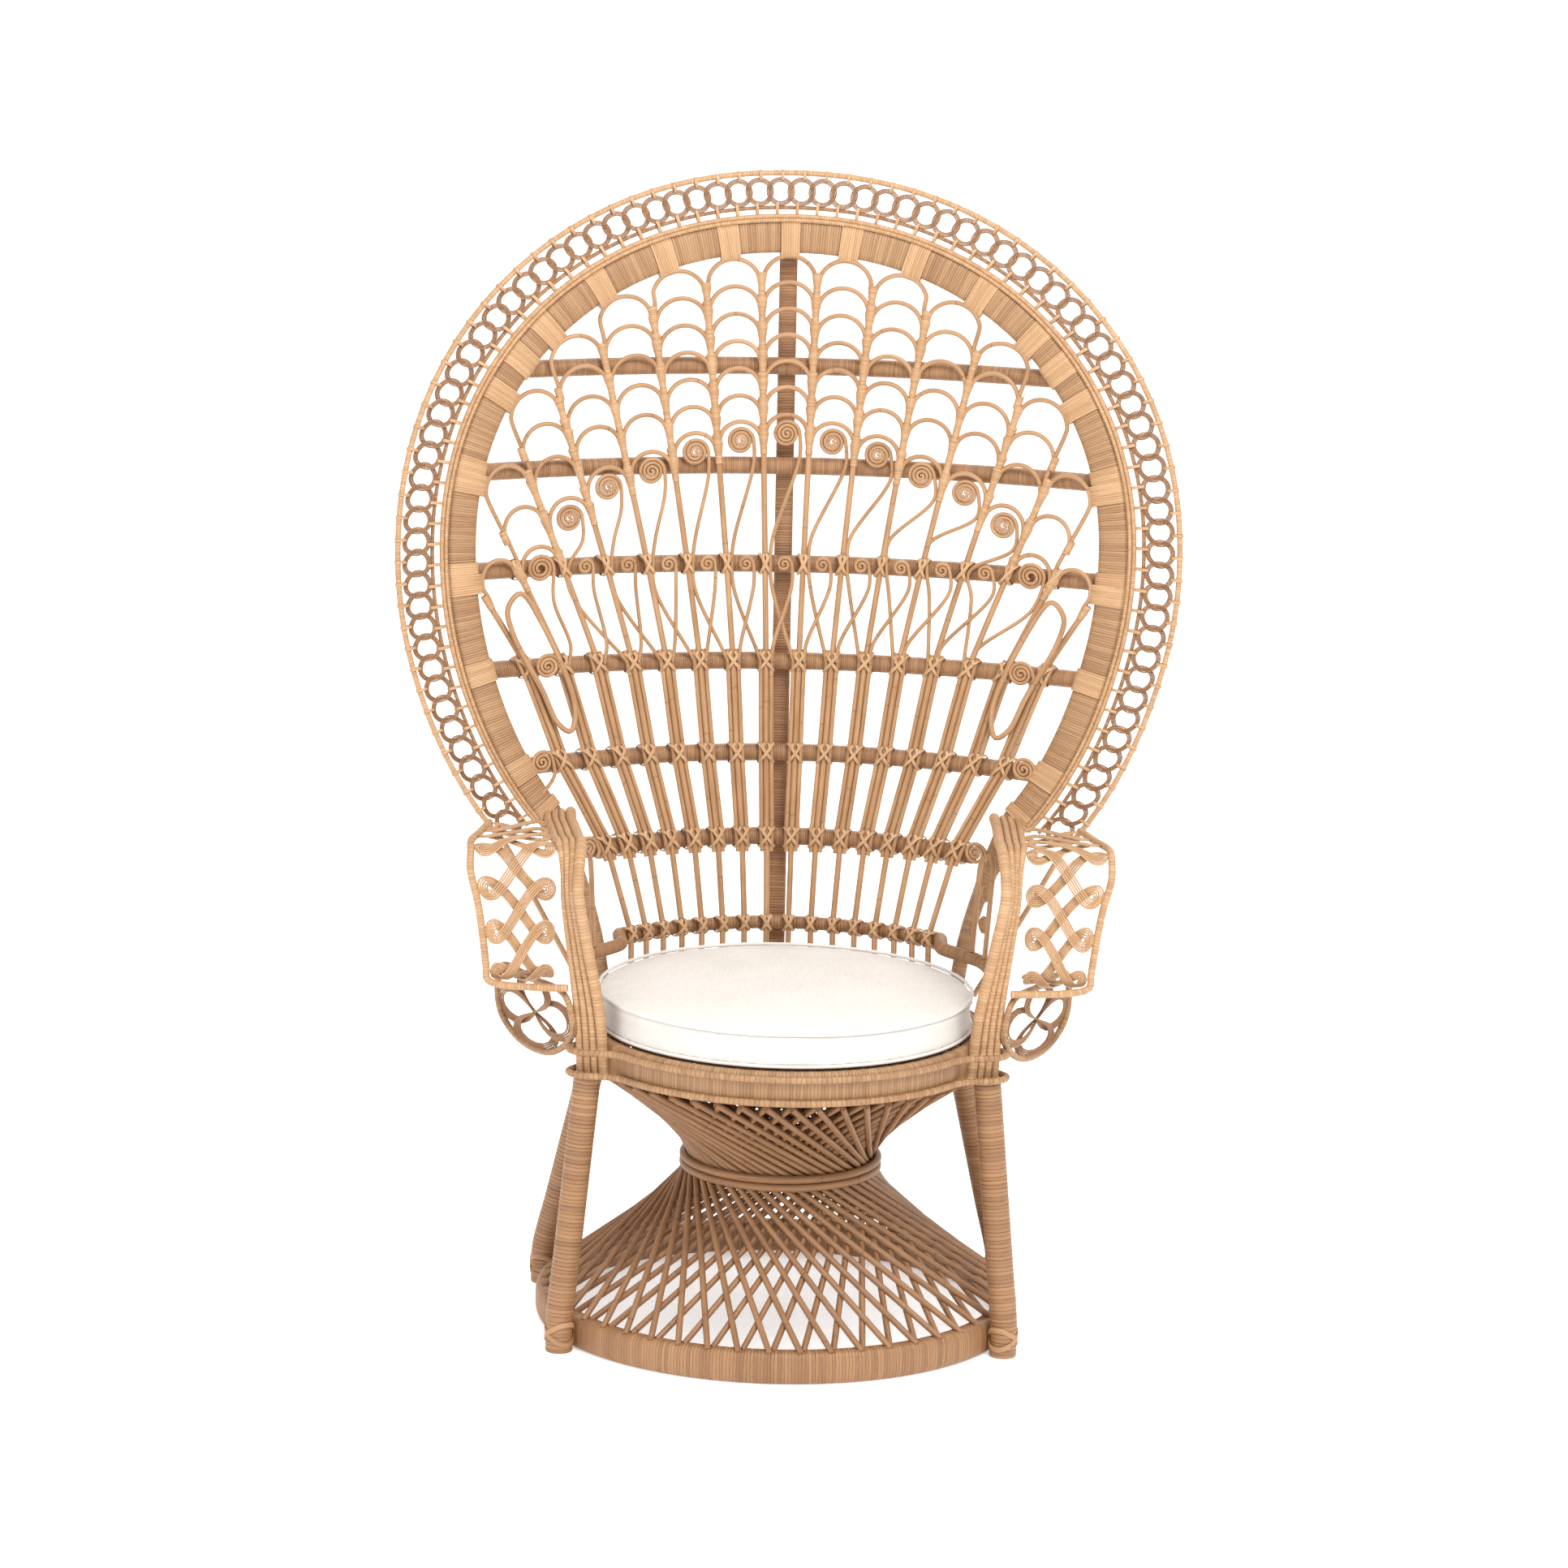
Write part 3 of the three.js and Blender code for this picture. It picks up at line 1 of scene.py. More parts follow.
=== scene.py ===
# %% [markdown]
# # A peacock chair in rattan
# The chair is a round wrapped seat on an hourglass of twisted canes, with four wrapped legs,
# a tall fan back inside a wide wrapped hoop, and two rolled arms filled with interlaced cane.
# Nearly every part of it is one of two things: a smooth cane that was bent while damp, or a
# thicker pole that was wrapped from end to end with a thin, flat strip of rattan peel. So this
# lesson first makes one good bent cane, and then builds the whole chair from it.
#
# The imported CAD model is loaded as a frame. Every length here is in millimetres, measured from
# the middle of the seat, as a chair maker would measure, and one function turns them to metres.

# %% Load the frame
import math

import bmesh
import bpy
import numpy as np
from mathutils import Matrix, Vector


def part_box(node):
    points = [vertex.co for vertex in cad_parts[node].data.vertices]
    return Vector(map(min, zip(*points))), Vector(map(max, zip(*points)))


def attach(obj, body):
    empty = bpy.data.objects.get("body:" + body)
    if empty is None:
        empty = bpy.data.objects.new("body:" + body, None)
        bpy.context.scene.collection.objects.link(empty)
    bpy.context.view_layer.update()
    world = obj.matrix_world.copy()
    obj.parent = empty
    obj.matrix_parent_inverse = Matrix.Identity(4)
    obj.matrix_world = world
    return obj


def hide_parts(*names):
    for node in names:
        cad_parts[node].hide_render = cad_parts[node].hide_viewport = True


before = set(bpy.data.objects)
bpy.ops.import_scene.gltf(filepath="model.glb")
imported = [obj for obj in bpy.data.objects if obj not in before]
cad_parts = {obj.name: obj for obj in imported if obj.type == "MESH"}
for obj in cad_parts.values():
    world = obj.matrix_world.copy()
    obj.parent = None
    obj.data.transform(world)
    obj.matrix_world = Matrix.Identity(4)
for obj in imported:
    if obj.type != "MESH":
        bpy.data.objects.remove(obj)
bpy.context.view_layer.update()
MM = 0.001
seat_low, seat_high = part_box("seat_ring")
SEAT_BACK = (seat_low[1] + seat_high[1]) / 2 / MM
print(f"the seat's middle stands {SEAT_BACK:.1f} mm from the frame's own middle")


def to_metres(points):
    """Places in millimetres from the seat's middle, as metres in the frame."""
    return (np.asarray(points, float) + (0, SEAT_BACK, 0)) * MM


# %% [markdown]
# ## The camera
# The chair was photographed from far away with a long lens, a little above the seat and a little
# to the left of its middle. The hourglass, the seat and the hoop's tilt fix the height and the
# distance. The picture also leans a little, so the camera is rolled by as much.

# %% Camera
CAMERA_TURN = math.radians(-2.8)
CAMERA_RISE = math.radians(12.4)
CAMERA_ROLL = math.radians(1.5)
CAMERA_REACH = 9000
CAMERA_AIM = (-4, 40, 720)
PICTURE_SIDE = 1932
FOCAL_PIXELS = 8630
SENSOR = 36
AIM_PIXEL = (969, 956.5)

camera = bpy.data.objects.new("camera", bpy.data.cameras.new("camera"))
bpy.context.scene.collection.objects.link(camera)
bpy.context.scene.camera = camera
level = math.cos(CAMERA_RISE)
away = np.array([math.sin(CAMERA_TURN) * level, -math.cos(CAMERA_TURN) * level, math.sin(CAMERA_RISE)])
camera.location = Vector(to_metres(np.array(CAMERA_AIM) + CAMERA_REACH * away))
facing = Vector(-away).to_track_quat("-Z", "Y").to_matrix()
camera.rotation_euler = (facing @ Matrix.Rotation(CAMERA_ROLL, 3, "Z")).to_euler()
camera.data.sensor_width = SENSOR
camera.data.lens = FOCAL_PIXELS * SENSOR / PICTURE_SIDE
camera.data.shift_x = (PICTURE_SIDE / 2 - AIM_PIXEL[0]) / PICTURE_SIDE
camera.data.shift_y = (AIM_PIXEL[1] - PICTURE_SIDE / 2) / PICTURE_SIDE
camera.data.clip_end = 100
print(f"lens {camera.data.lens:.0f} mm, {CAMERA_REACH / 1000:.0f} m away")

# %% [markdown]
# ## Colours and nodes
# Colours are picked as they look on a screen, in hex, and one function turns them to the linear
# values that Blender's sockets want. Another small function adds a node, sets what it is given
# and links its inputs. The rest are short names for what the materials do most often, so that
# each material below reads as a short list of nodes.


# %% Colour and node helpers
def linear(hex_colour):
    """An sRGB hex colour as linear red, green, blue and alpha."""
    values = [int(hex_colour[place : place + 2], 16) / 255 for place in (1, 3, 5)]
    return tuple(v / 12.92 if v <= 0.04045 else ((v + 0.055) / 1.055) ** 2.4 for v in values) + (1,)


def node(tree, kind, inputs=None, **settings):
    """Adds a node. An input is a value, or a socket of another node to link."""
    made = tree.nodes.new(kind)
    for name, value in settings.items():
        setattr(made, name, value)
    for place, value in (inputs or {}).items():
        if isinstance(value, bpy.types.NodeSocket):
            tree.links.new(value, made.inputs[place])
        else:
            made.inputs[place].default_value = value
    return made


def new_material(name):
    """A material with only an output and a Principled shader."""
    material = bpy.data.materials.new(name)
    material.use_nodes = True
    tree = material.node_tree
    tree.nodes.clear()
    shader = node(tree, "ShaderNodeBsdfPrincipled")
    node(tree, "ShaderNodeOutputMaterial", {"Surface": shader.outputs[0]})
    return material, tree, shader


def maths(tree, operation, *values):
    """The output of one maths node."""
    return node(tree, "ShaderNodeMath", dict(enumerate(values)), operation=operation).outputs[0]


def add(tree, first, second):
    """The sum of two values."""
    return maths(tree, "ADD", first, second)


def minus(tree, first, second):
    """The first value less the second."""
    return maths(tree, "SUBTRACT", first, second)


def times(tree, first, second):
    """The product of two values."""
    return maths(tree, "MULTIPLY", first, second)


def ranged(tree, value, low, high, first=0.0, last=1.0):
    """A value whose span from low to high is turned into the span from first to last."""
    return node(tree, "ShaderNodeMapRange", {0: value, 1: low, 2: high, 3: first, 4: last}).outputs[0]


def colour_mix(tree, amount, first, second, blend="MIX"):
    """The colour that lies between two colours."""
    mix = node(tree, "ShaderNodeMix", {0: amount, 6: first, 7: second}, data_type="RGBA", blend_type=blend)
    return mix.outputs[2]


def grain(tree, vector, stretch, detail=2.0, roughness=0.5):
    """Noise on a stretched copy of a vector. A stretch is the number of features in a metre."""
    scaled = node(tree, "ShaderNodeVectorMath", {0: vector, 1: stretch}, operation="MULTIPLY")
    inputs = {"Vector": scaled.outputs[0], "Scale": 1.0, "Detail": detail, "Roughness": roughness}
    return node(tree, "ShaderNodeTexNoise", inputs).outputs["Fac"]


def cover(tree, shader, colour, height, strength, relief):
    """Gives the shader its colour, and a relief in metres for where the height is 1."""
    tree.links.new(colour, shader.inputs["Base Color"])
    bump = node(tree, "ShaderNodeBump", {"Strength": strength, "Distance": relief, "Height": height})
    tree.links.new(bump.outputs[0], shader.inputs["Normal"])


def along_cane(tree):
    """The place that a point had while its cane was straight, and the length along the cane."""
    straight = node(tree, "ShaderNodeAttribute", attribute_name="straight").outputs["Vector"]
    return straight, node(tree, "ShaderNodeSeparateXYZ", {0: straight}).outputs["Z"]


# %% [markdown]
# ## Rattan peel
# Wrapped poles show the skin of the rattan palm, slit into flat strips about four millimetres
# wide and wound on edge to edge. The skin is waxy, so it takes a soft gloss. Its fibres run along
# the strip, so on a pole they run round it, and each turn differs a little in tone, because the
# strip was cut from many stems. The dark lines are the shadowed joints between turns.
#
# Every cane below carries an attribute named "straight": where each point was before the cane
# was bent, and how far along it. On a wrapped pole each turn takes exactly one strip's width of
# that length, so a whole number of strips counts the turns.

# %% Material: rattan peel
STRIP = 4 * MM


def rattan_peel(name, dark, fair, joint_shade_colour, variety=0.4, joint_shade_strength=0.62):
    """Peel strips wound edge to edge, how much they vary, and how dark the painted shade in their joints
    is.
    """
    material, tree, shader = new_material(name)
    straight, length = along_cane(tree)
    turns = maths(tree, "DIVIDE", length, STRIP)
    count = maths(tree, "FLOOR", turns)
    turn_tone = node(tree, "ShaderNodeTexWhiteNoise", {"W": count}, noise_dimensions="1D").outputs["Value"]
    fibres = grain(tree, straight, (70, 70, 2600), 3)
    drift = grain(tree, straight, (3, 3, 9), 2)
    tone = add(tree, times(tree, turn_tone, variety), times(tree, fibres, 0.5))
    tone = ranged(tree, add(tree, tone, times(tree, drift, 0.55)), 0.35, 1.1)
    body = colour_mix(tree, tone, linear(dark), linear(fair))
    place = minus(tree, turns, count)
    edge = times(tree, maths(tree, "ABSOLUTE", minus(tree, place, 0.5)), 2.0)
    uneven = grain(tree, straight, (160, 160, 300), 1)
    edge = add(tree, edge, times(tree, minus(tree, uneven, 0.5), 0.22))
    # Painted shade: each joint between turns is darkened towards the last colour, which stands in for the
    # shade in its groove. The same mask also sinks the groove in the bump.
    joint_groove_and_shade = ranged(tree, edge, 0.76, 1.0)
    whole = colour_mix(tree, times(tree, joint_groove_and_shade, joint_shade_strength), body, linear(joint_shade_colour))
    tree.links.new(ranged(tree, fibres, 0.3, 0.7, 0.42, 0.6), shader.inputs["Roughness"])
    cover(tree, shader, whole, minus(tree, times(tree, fibres, 0.25), joint_groove_and_shade), 0.5, 0.4 * MM)
    shader.inputs["IOR"].default_value = 1.5
    return material


# The last colour of each peel is the painted shade laid into its joints.
peel = rattan_peel("wrapped_rattan_peel", "#876140", "#ae8860", "#5a3a20")
peel_brown = rattan_peel("wrapped_rattan_peel_toned", "#7c5635", "#a67c55", "#472b15")
peel_fair = rattan_peel("wrapped_rattan_peel_fair", "#a17850", "#c8a27a", "#63411f", 0.3, 0.45)

# %% [markdown]
# ## Bent cane
# The canes are the stem itself, scraped smooth. Their fibres run lengthways as fine darker
# streaks. Every hand's breadth or two a stem has a node, which leaves a thin darker ring. The
# canes of the hourglass are browner, because they were toned before they were strung.

# %% Material: scraped cane
NODE_SPACING = 190 * MM


def scraped_cane(name, dark, fair, streak):
    """Round cane with streaks along it and a faint node here and there."""
    material, tree, shader = new_material(name)
    straight, length = along_cane(tree)
    fibres = grain(tree, straight, (950, 950, 14), 3, 0.6)
    blotch = grain(tree, straight, (30, 30, 22), 3)
    drift = grain(tree, straight, (2, 2, 5), 1)
    tone = ranged(tree, add(tree, times(tree, blotch, 0.7), times(tree, drift, 0.7)), 0.4, 0.98)
    body = colour_mix(tree, tone, linear(dark), linear(fair))
    lines = ranged(tree, fibres, 0.48, 0.66)
    body = colour_mix(tree, times(tree, lines, 0.42), body, linear(streak))
    wander = times(tree, grain(tree, straight, (300, 300, 4), 1), 0.04)
    stem = maths(tree, "FRACT", add(tree, maths(tree, "DIVIDE", length, NODE_SPACING), wander))
    ring = ranged(tree, maths(tree, "ABSOLUTE", minus(tree, stem, 0.5)), 0.008, 0.0)
    body = colour_mix(tree, times(tree, ring, 0.6), body, linear(streak))
    tree.links.new(ranged(tree, fibres, 0.3, 0.7, 0.4, 0.58), shader.inputs["Roughness"])
    cover(tree, shader, body, add(tree, times(tree, fibres, 0.5), times(tree, ring, 0.6)), 0.35, 0.3 * MM)
    shader.inputs["IOR"].default_value = 1.5
    return material


cane = scraped_cane("scraped_cane_honey", "#946a43", "#b78f67", "#664223")
cane_brown = scraped_cane("scraped_cane_toned", "#7d5737", "#a0754f", "#4f311b")
cane_fair = scraped_cane("scraped_cane_fair", "#a27a52", "#c7a17a", "#7a5634")
print(f"{len(bpy.data.materials)} materials so far")

# %% [markdown]
# ## A straight cane, cut into rings
# A cane starts as a closed round bar: a cone operator with two equal ends. Its long edges are
# then cut across, which gives evenly spaced rings. Cutting in two goes is much quicker than
# cutting an edge into hundreds of lengths at once. The same bar serves every cane with as many
# rings, so each kind is made only once.

# %% Straight bars
bars = {}


def long_edges(bar):
    """The edges that run along a bar."""
    return [edge for edge in bar.edges if abs(edge.verts[0].co.z - edge.verts[1].co.z) > 1e-6]


def straight_bar(rings, sides):
    """A closed bar of radius 1 along Z, as its mesh, its round places and each point's ring."""
    if (rings, sides) not in bars:
        bar = bmesh.new()
        ends = dict(cap_ends=True, cap_tris=False, segments=sides, radius1=1, radius2=1, depth=1)
        bmesh.ops.create_cone(bar, **ends)
        spans = rings - 1
        first = next(cuts for cuts in (30, 24, 20, 16, 12, 10, 8, 6, 5, 4, 3, 2, 1) if spans % cuts == 0)
        for pieces in (first, spans // first):
            if pieces > 1:
                bmesh.ops.subdivide_edges(bar, edges=long_edges(bar), cuts=pieces - 1, use_grid_fill=True)
        mesh = bpy.data.meshes.new(f"bar_{rings}_{sides}")
        bar.to_mesh(mesh)
        bar.free()
        flat = np.empty(len(mesh.vertices) * 3)
        mesh.vertices.foreach_get("co", flat)
        places = flat.reshape(-1, 3)
        ring = np.rint((places[:, 2] + 0.5) * spans).astype(int)
        bars[rings, sides] = (mesh, places[:, :2].copy(), ring)
    return bars[rings, sides]


# %% [markdown]
# ## Bending it
# A line through a few places is smoothed, and points are set out along it. At each point two
# directions are needed: across the cane, and out of the face that it lies in. Where the face
# is known, as on the back of the chair, it is given. Elsewhere the direction of one ring is
# carried on to the next without twisting.


# %% Lines in space
def smooth_line(points, closed=False, fine=16):
    """A centripetal curve through points, as a fine line."""
    points = np.asarray(points, float)
    if len(points) < 3:
        return points
    if closed:
        padded = np.vstack([points[-1], points, points[:2]])
    else:
        padded = np.vstack([2 * points[0] - points[1], points, 2 * points[-1] - points[-2]])
    out = []
    for place in range(len(padded) - 3):
        a, b, c, d = padded[place : place + 4]
        t1 = np.linalg.norm(b[:3] - a[:3]) ** 0.5 + 1e-9
        t2 = t1 + np.linalg.norm(c[:3] - b[:3]) ** 0.5 + 1e-9
        t3 = t2 + np.linalg.norm(d[:3] - c[:3]) ** 0.5 + 1e-9
        t = np.linspace(t1, t2, fine, endpoint=False)[:, None]
        ab = (t1 - t) / t1 * a + t / t1 * b
        bc = (t2 - t) / (t2 - t1) * b + (t - t1) / (t2 - t1) * c
        cd = (t3 - t) / (t3 - t2) * c + (t - t2) / (t3 - t2) * d
        abc = (t2 - t) / t2 * ab + t / t2 * bc
        bcd = (t3 - t) / (t3 - t1) * bc + (t - t1) / (t3 - t1) * cd
        out.append((t2 - t) / (t2 - t1) * abc + (t - t1) / (t2 - t1) * bcd)
    return np.vstack([*out, padded[-2][None]])


def lengths_along(line):
    """How far along a line each of its points is."""
    return np.concatenate([[0], np.cumsum(np.linalg.norm(np.diff(line[:, :3], axis=0), axis=1))])


def at_lengths(line, wanted):
    """The points of a line at the lengths that are wanted. Any further columns go along."""
    lengths = lengths_along(line)
    return np.stack([np.interp(wanted, lengths, column) for column in line.T], axis=1)


def unit(vectors):
    """The same directions, one long."""
    return vectors / np.maximum(np.linalg.norm(vectors, axis=-1, keepdims=True), 1e-12)


def carried_faces(tangents):
    """A direction square to each tangent, carried along with no twist."""
    least = np.argmin(np.abs(tangents[0]))
    face = np.cross(tangents[0], np.eye(3)[least])
    faces = []
    for tangent in tangents:
        face = face - tangent * np.dot(face, tangent)
        face = face / np.linalg.norm(face)
        faces.append(face)
    return np.array(faces)


# %% [markdown]
# ## Canes and wrapped poles
# `bent_cane` bends a straight bar along a line. `wrapped_pole` does the same, but sets three
# rings for every turn of the strip: one down in the joint and two on the strip's flat. So the
# turns are real ridges that show along the outline too. No two turns are wound quite alike, so
# each joint leans and sinks a little differently.

# %% Cane makers
draw = np.random.default_rng(7)
CANE_SHIFT = 0.4


def bend(line, rings, sides, half_width, half_depth, strip_lengths, closed, squareness, lean=0.0):
    """The points of a bar bent along a line, and the same points while it was straight."""
    mesh, circle, ring = straight_bar(rings, sides)
    places = line[:, :3]
    tangents = np.gradient(places, axis=0)
    if closed:
        tangents[0] = tangents[-1] = places[1] - places[-2]
    tangents = unit(tangents)
    faces = line[:, 3:6] if line.shape[1] >= 6 else carried_faces(tangents)
    across = unit(np.cross(faces, tangents))
    through = unit(np.cross(tangents, across))
    if squareness != 1:
        circle = np.sign(circle) * np.abs(circle) ** squareness
    wide = (np.ones(rings) * half_width)[ring] * circle[:, 0]
    deep = (np.ones(rings) * half_depth)[ring] * circle[:, 1]
    slid = (np.ones(rings) * lean)[ring] * circle[:, 0]
    bent = places[ring] + across[ring] * wide[:, None] + through[ring] * deep[:, None]
    bent += tangents[ring] * slid[:, None]
    shift = draw.integers(1, 200) * CANE_SHIFT
    straight = np.stack([wide * MM, deep * MM, strip_lengths[ring] + shift], axis=1)
    return mesh, bent, straight


def bent_cane(points, radius, step=5.0, sides=8, closed=False, depth=None, squareness=1, smooth=True):
    """A cane through points. A point may carry the way its face looks as three more numbers."""
    line = smooth_line(points, closed) if smooth else np.asarray(points, float)
    total = lengths_along(line)[-1]
    spans = max(3, int(round(total / step)))
    if spans > 40:
        spans = 8 * math.ceil(spans / 8)
    wanted = np.linspace(0, total, spans + 1)
    width = radius(wanted / total) if callable(radius) else radius
    deep = depth if depth is not None else width
    return bend(at_lengths(line, wanted), spans + 1, sides, width, deep, wanted * MM, closed, squareness)


def size_at(size, shares):
    """A size at each share of a pole's length, whether it is one number or a rule."""
    return size(shares) if callable(size) else size * np.ones(len(shares))


def wrapped_pole(
    points, radius, strip=4.0, sides=12, closed=False, depth=None, squareness=1, sink=0.45, smooth=True
):
    """A pole wound with a strip of peel from end to end."""
    line = smooth_line(points, closed) if smooth else np.asarray(points, float)
    total = lengths_along(line)[-1]
    turns = max(2, int(round(total / strip)))
    if turns > 40:
        turns = 10 * math.ceil(turns / 10)
    spots = (np.arange(turns)[:, None] + (0, 0.2, 0.8)).ravel()
    spots = np.append(spots, turns)
    wanted = spots / turns * total
    width = size_at(radius, spots / turns)
    deep = width if depth is None else size_at(depth, spots / turns)
    is_joint = np.arange(len(spots)) % 3 == 0
    cut = np.where(is_joint, sink * (0.7 + 0.6 * draw.random(len(spots))), 0.12 * draw.random(len(spots)))
    tilt = np.repeat(draw.normal(0, 0.09 * strip, turns + 1), 3)[: len(spots)]
    row = at_lengths(line, wanted)
    return bend(row, len(spots), sides, width - cut, deep - cut, spots * STRIP, closed, squareness, tilt)


def make_piece(name, canes, nodes, body="chair"):
    """Joins canes into one piece. Each entry is a cane and the material that it is made of."""
    joined = bmesh.new()
    for (mesh, _, _), _ in canes:
        joined.from_mesh(mesh)
    mesh = bpy.data.meshes.new(name)
    joined.to_mesh(mesh)
    joined.free()
    bent = np.vstack([to_metres(cane_points) for (_, cane_points, _), _ in canes])
    mesh.vertices.foreach_set("co", bent.astype(np.float32).ravel())
    straight = mesh.attributes.new("straight", "FLOAT_VECTOR", "POINT")
    rest = np.vstack([cane_straight for (_, _, cane_straight), _ in canes])
    straight.data.foreach_set("vector", rest.astype(np.float32).ravel())
    materials = []
    for _, material in canes:
        if material not in materials:
            materials.append(material)
            mesh.materials.append(material)
    indices = [np.full(len(m.polygons), materials.index(material)) for (m, _, _), material in canes]
    mesh.polygons.foreach_set("material_index", np.concatenate(indices).astype(np.int32))
    mesh.polygons.foreach_set("use_smooth", np.ones(len(mesh.polygons), bool))
    mesh.update()
    mesh.set_sharp_from_angle(angle=math.radians(62))
    piece = bpy.data.objects.new(name, mesh)
    bpy.context.scene.collection.objects.link(piece)
    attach(piece, body)
    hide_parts(*nodes)
    return piece


# %% [markdown]
# ## The hourglass base
# Two layers of forty-eight canes run from the seat ring down to the base ring. Each layer was
# strung straight and its ends were then turned against each other, the outer layer one way and
# the inner one the other, so they cross all the way down and draw in to a narrow waist. Two
# thicker canes bind the waist. The base ring is a flat bundle wound with peel, and it stands a
# little behind the seat's middle, so the waist drifts back.

# %% Hourglass base
SEAT_TOP = 404
APRON = 46
APRON_THICK = 18
SEAT_RADIUS = 258
APRON_MIDDLE = SEAT_RADIUS - APRON_THICK / 2
BASE_RADIUS = 314
BASE_HEIGHT = 43
BASE_WIDTH = 28
BASE_BACK = 40
WAIST_HEIGHT = 218
WAIST_RADIUS = 117
STRANDS = 48
STRAND_RADIUS = 4.1
LAYER_STEP = 9.5
circle_steps = np.linspace(0, 2 * math.pi, 49)[:-1]


def axis_back(height):
    """How far behind the seat's middle the axis of the hourglass is at a height."""
    return BASE_BACK * (SEAT_TOP - height) / SEAT_TOP


def around(radius, angle, height, back=0.0):
    """A place on a circle round the chair's axis."""
    return np.array([radius * math.cos(angle), back + radius * math.sin(angle), height])


def facing_out(radius, height, back=0.0):
    """A circle round the chair's axis, whose places look outward."""
    return [(*around(radius, a, height, back), math.cos(a), math.sin(a), 0) for a in circle_steps]


weave_stations = [
    (SEAT_TOP - APRON - 4, APRON_MIDDLE, 0.0),
    (WAIST_HEIGHT, WAIST_RADIUS, math.radians(62)),
    (BASE_HEIGHT - 2, BASE_RADIUS - BASE_WIDTH / 2 + 4.8, math.radians(116)),
]


def layer_of_canes(step_in, way):
    """One layer, a step inside the outer one, whose canes turn one way or the other."""
    waist_turn = weave_stations[1][2]
    canes = []
    for number in range(STRANDS):
        start = (number + (way < 0) / 2) / STRANDS * 2 * math.pi + waist_turn
        line = []
        for height, radius, turn in weave_stations:
            angle = start + way * (turn - waist_turn)
            line.append(around(radius - step_in, angle, height, axis_back(height)))
        top, waist, foot = line
        near = 0.12
        line = [top, top + (waist - top) * (1 - near), waist, waist + (foot - waist) * near, foot]
        line[1] = line[1] + draw.normal(0, 0.7, 3)
        line[3] = line[3] + draw.normal(0, 0.7, 3)
        canes.append((bent_cane(line, STRAND_RADIUS, step=14, sides=8), cane_brown))
    return canes


make_piece("hourglass_canes", layer_of_canes(0, 1), ["base_weave"])
make_piece("hourglass_inner_canes", layer_of_canes(LAYER_STEP, -1), ["base_weave_inner"])

WAIST_RING_RADIUS = 5.4
WAIST_RING_RISE = 5.5
for name, rise in (("waist_ring_lower", -WAIST_RING_RISE), ("waist_ring_upper", WAIST_RING_RISE)):
    height = WAIST_HEIGHT + rise
    reach = WAIST_RADIUS + STRAND_RADIUS + 4.8
    loop = [around(reach, angle, height, axis_back(height)) for angle in circle_steps]
    ring = bent_cane(loop, WAIST_RING_RADIUS, step=8, sides=10, closed=True)
    make_piece(f"{name}_cane", [(ring, cane_brown)], [name])

loop = facing_out(BASE_RADIUS - BASE_WIDTH / 2, BASE_HEIGHT / 2, BASE_BACK)
flat_bundle = dict(strip=4.2, sides=24, closed=True, depth=BASE_WIDTH / 2, squareness=0.62)
wound = wrapped_pole(loop, BASE_HEIGHT / 2, **flat_bundle)
make_piece("base_ring_wrapped", [(wound, peel_brown)], ["base_ring"])

# %% [markdown]
# ## Legs
# Each leg is a pole wound with a wider strip than most, upright over the base ring's height and
# straight from there to the seat. Two slanted loops of cane that cross each other bind its foot.

# %% Legs
LEG_RADIUS = 18
LEG_TOP = 362
LASHING_HEIGHT = 25
LASHING_SLOPE = 13
legs = {
    "front_left": (-255, -115, -285),
    "front_right": (255, -115, 285),
    "rear_left": (-230, 158, -301),
    "rear_right": (230, 158, 301),
}


def leg_line(x, y, foot_x):
    """The places of a leg's axis from the floor up, and the way from its foot to the base ring."""
    away = math.sqrt((BASE_RADIUS + LEG_RADIUS + 0.3) ** 2 - foot_x**2)
    foot_y = BASE_BACK + (away if y > 0 else -away)
    foot = np.array([foot_x, foot_y, 0.0])
    inward = unit(np.array([-foot_x, BASE_BACK - foot_y, 0.0]))
    return [foot, foot + (0, 0, BASE_HEIGHT), np.array([x, y, LEG_TOP])], inward


for name, (x, y, foot_x) in legs.items():
    (foot, knee, top), inward = leg_line(x, y, foot_x)
    line = [foot + (0, 0, 0.4), knee, *(knee + (top - knee) * s for s in (0.25, 0.5, 0.75)), top]
    pole = wrapped_pole(line, LEG_RADIUS - 0.4, strip=5.6, sides=24, sink=0.6)
    canes = [(pole, peel_brown)]
    aside = np.array([-inward[1], inward[0], 0.0])
    for slope in (-1, 1):
        points = []
        for step in range(25):
            angle = step / 24 * 2 * math.pi
            outward = -inward * math.cos(angle) + aside * math.sin(angle)
            height = LASHING_HEIGHT + slope * LASHING_SLOPE * math.sin(angle)
            points.append((*(foot + outward * (LEG_RADIUS + 0.5) + (0, 0, height)), *outward))
        canes.append((bent_cane(points, 3.4, step=5, sides=8, depth=1.0, squareness=0.7), cane))
    make_piece(f"leg_{name}_wrapped", canes, [f"leg_{name}"])

# %% [markdown]
# ## Seat
# The apron is a broad hoop of bent rattan, wound with peel so that the strips stand upright.
# Two rods run round it and swing out round each post, which is what holds posts and apron
# together. Under the cushion the seat is a panel of woven cane.

# %% Seat ring and rods
loop = facing_out(APRON_MIDDLE, SEAT_TOP - APRON / 2)
upright_wrap = dict(strip=4.4, sides=20, closed=True, depth=APRON_THICK / 2, squareness=0.55)
wound = wrapped_pole(loop, APRON / 2, **upright_wrap)
make_piece("seat_ring_wrapped", [(wound, peel)], ["seat_ring"])

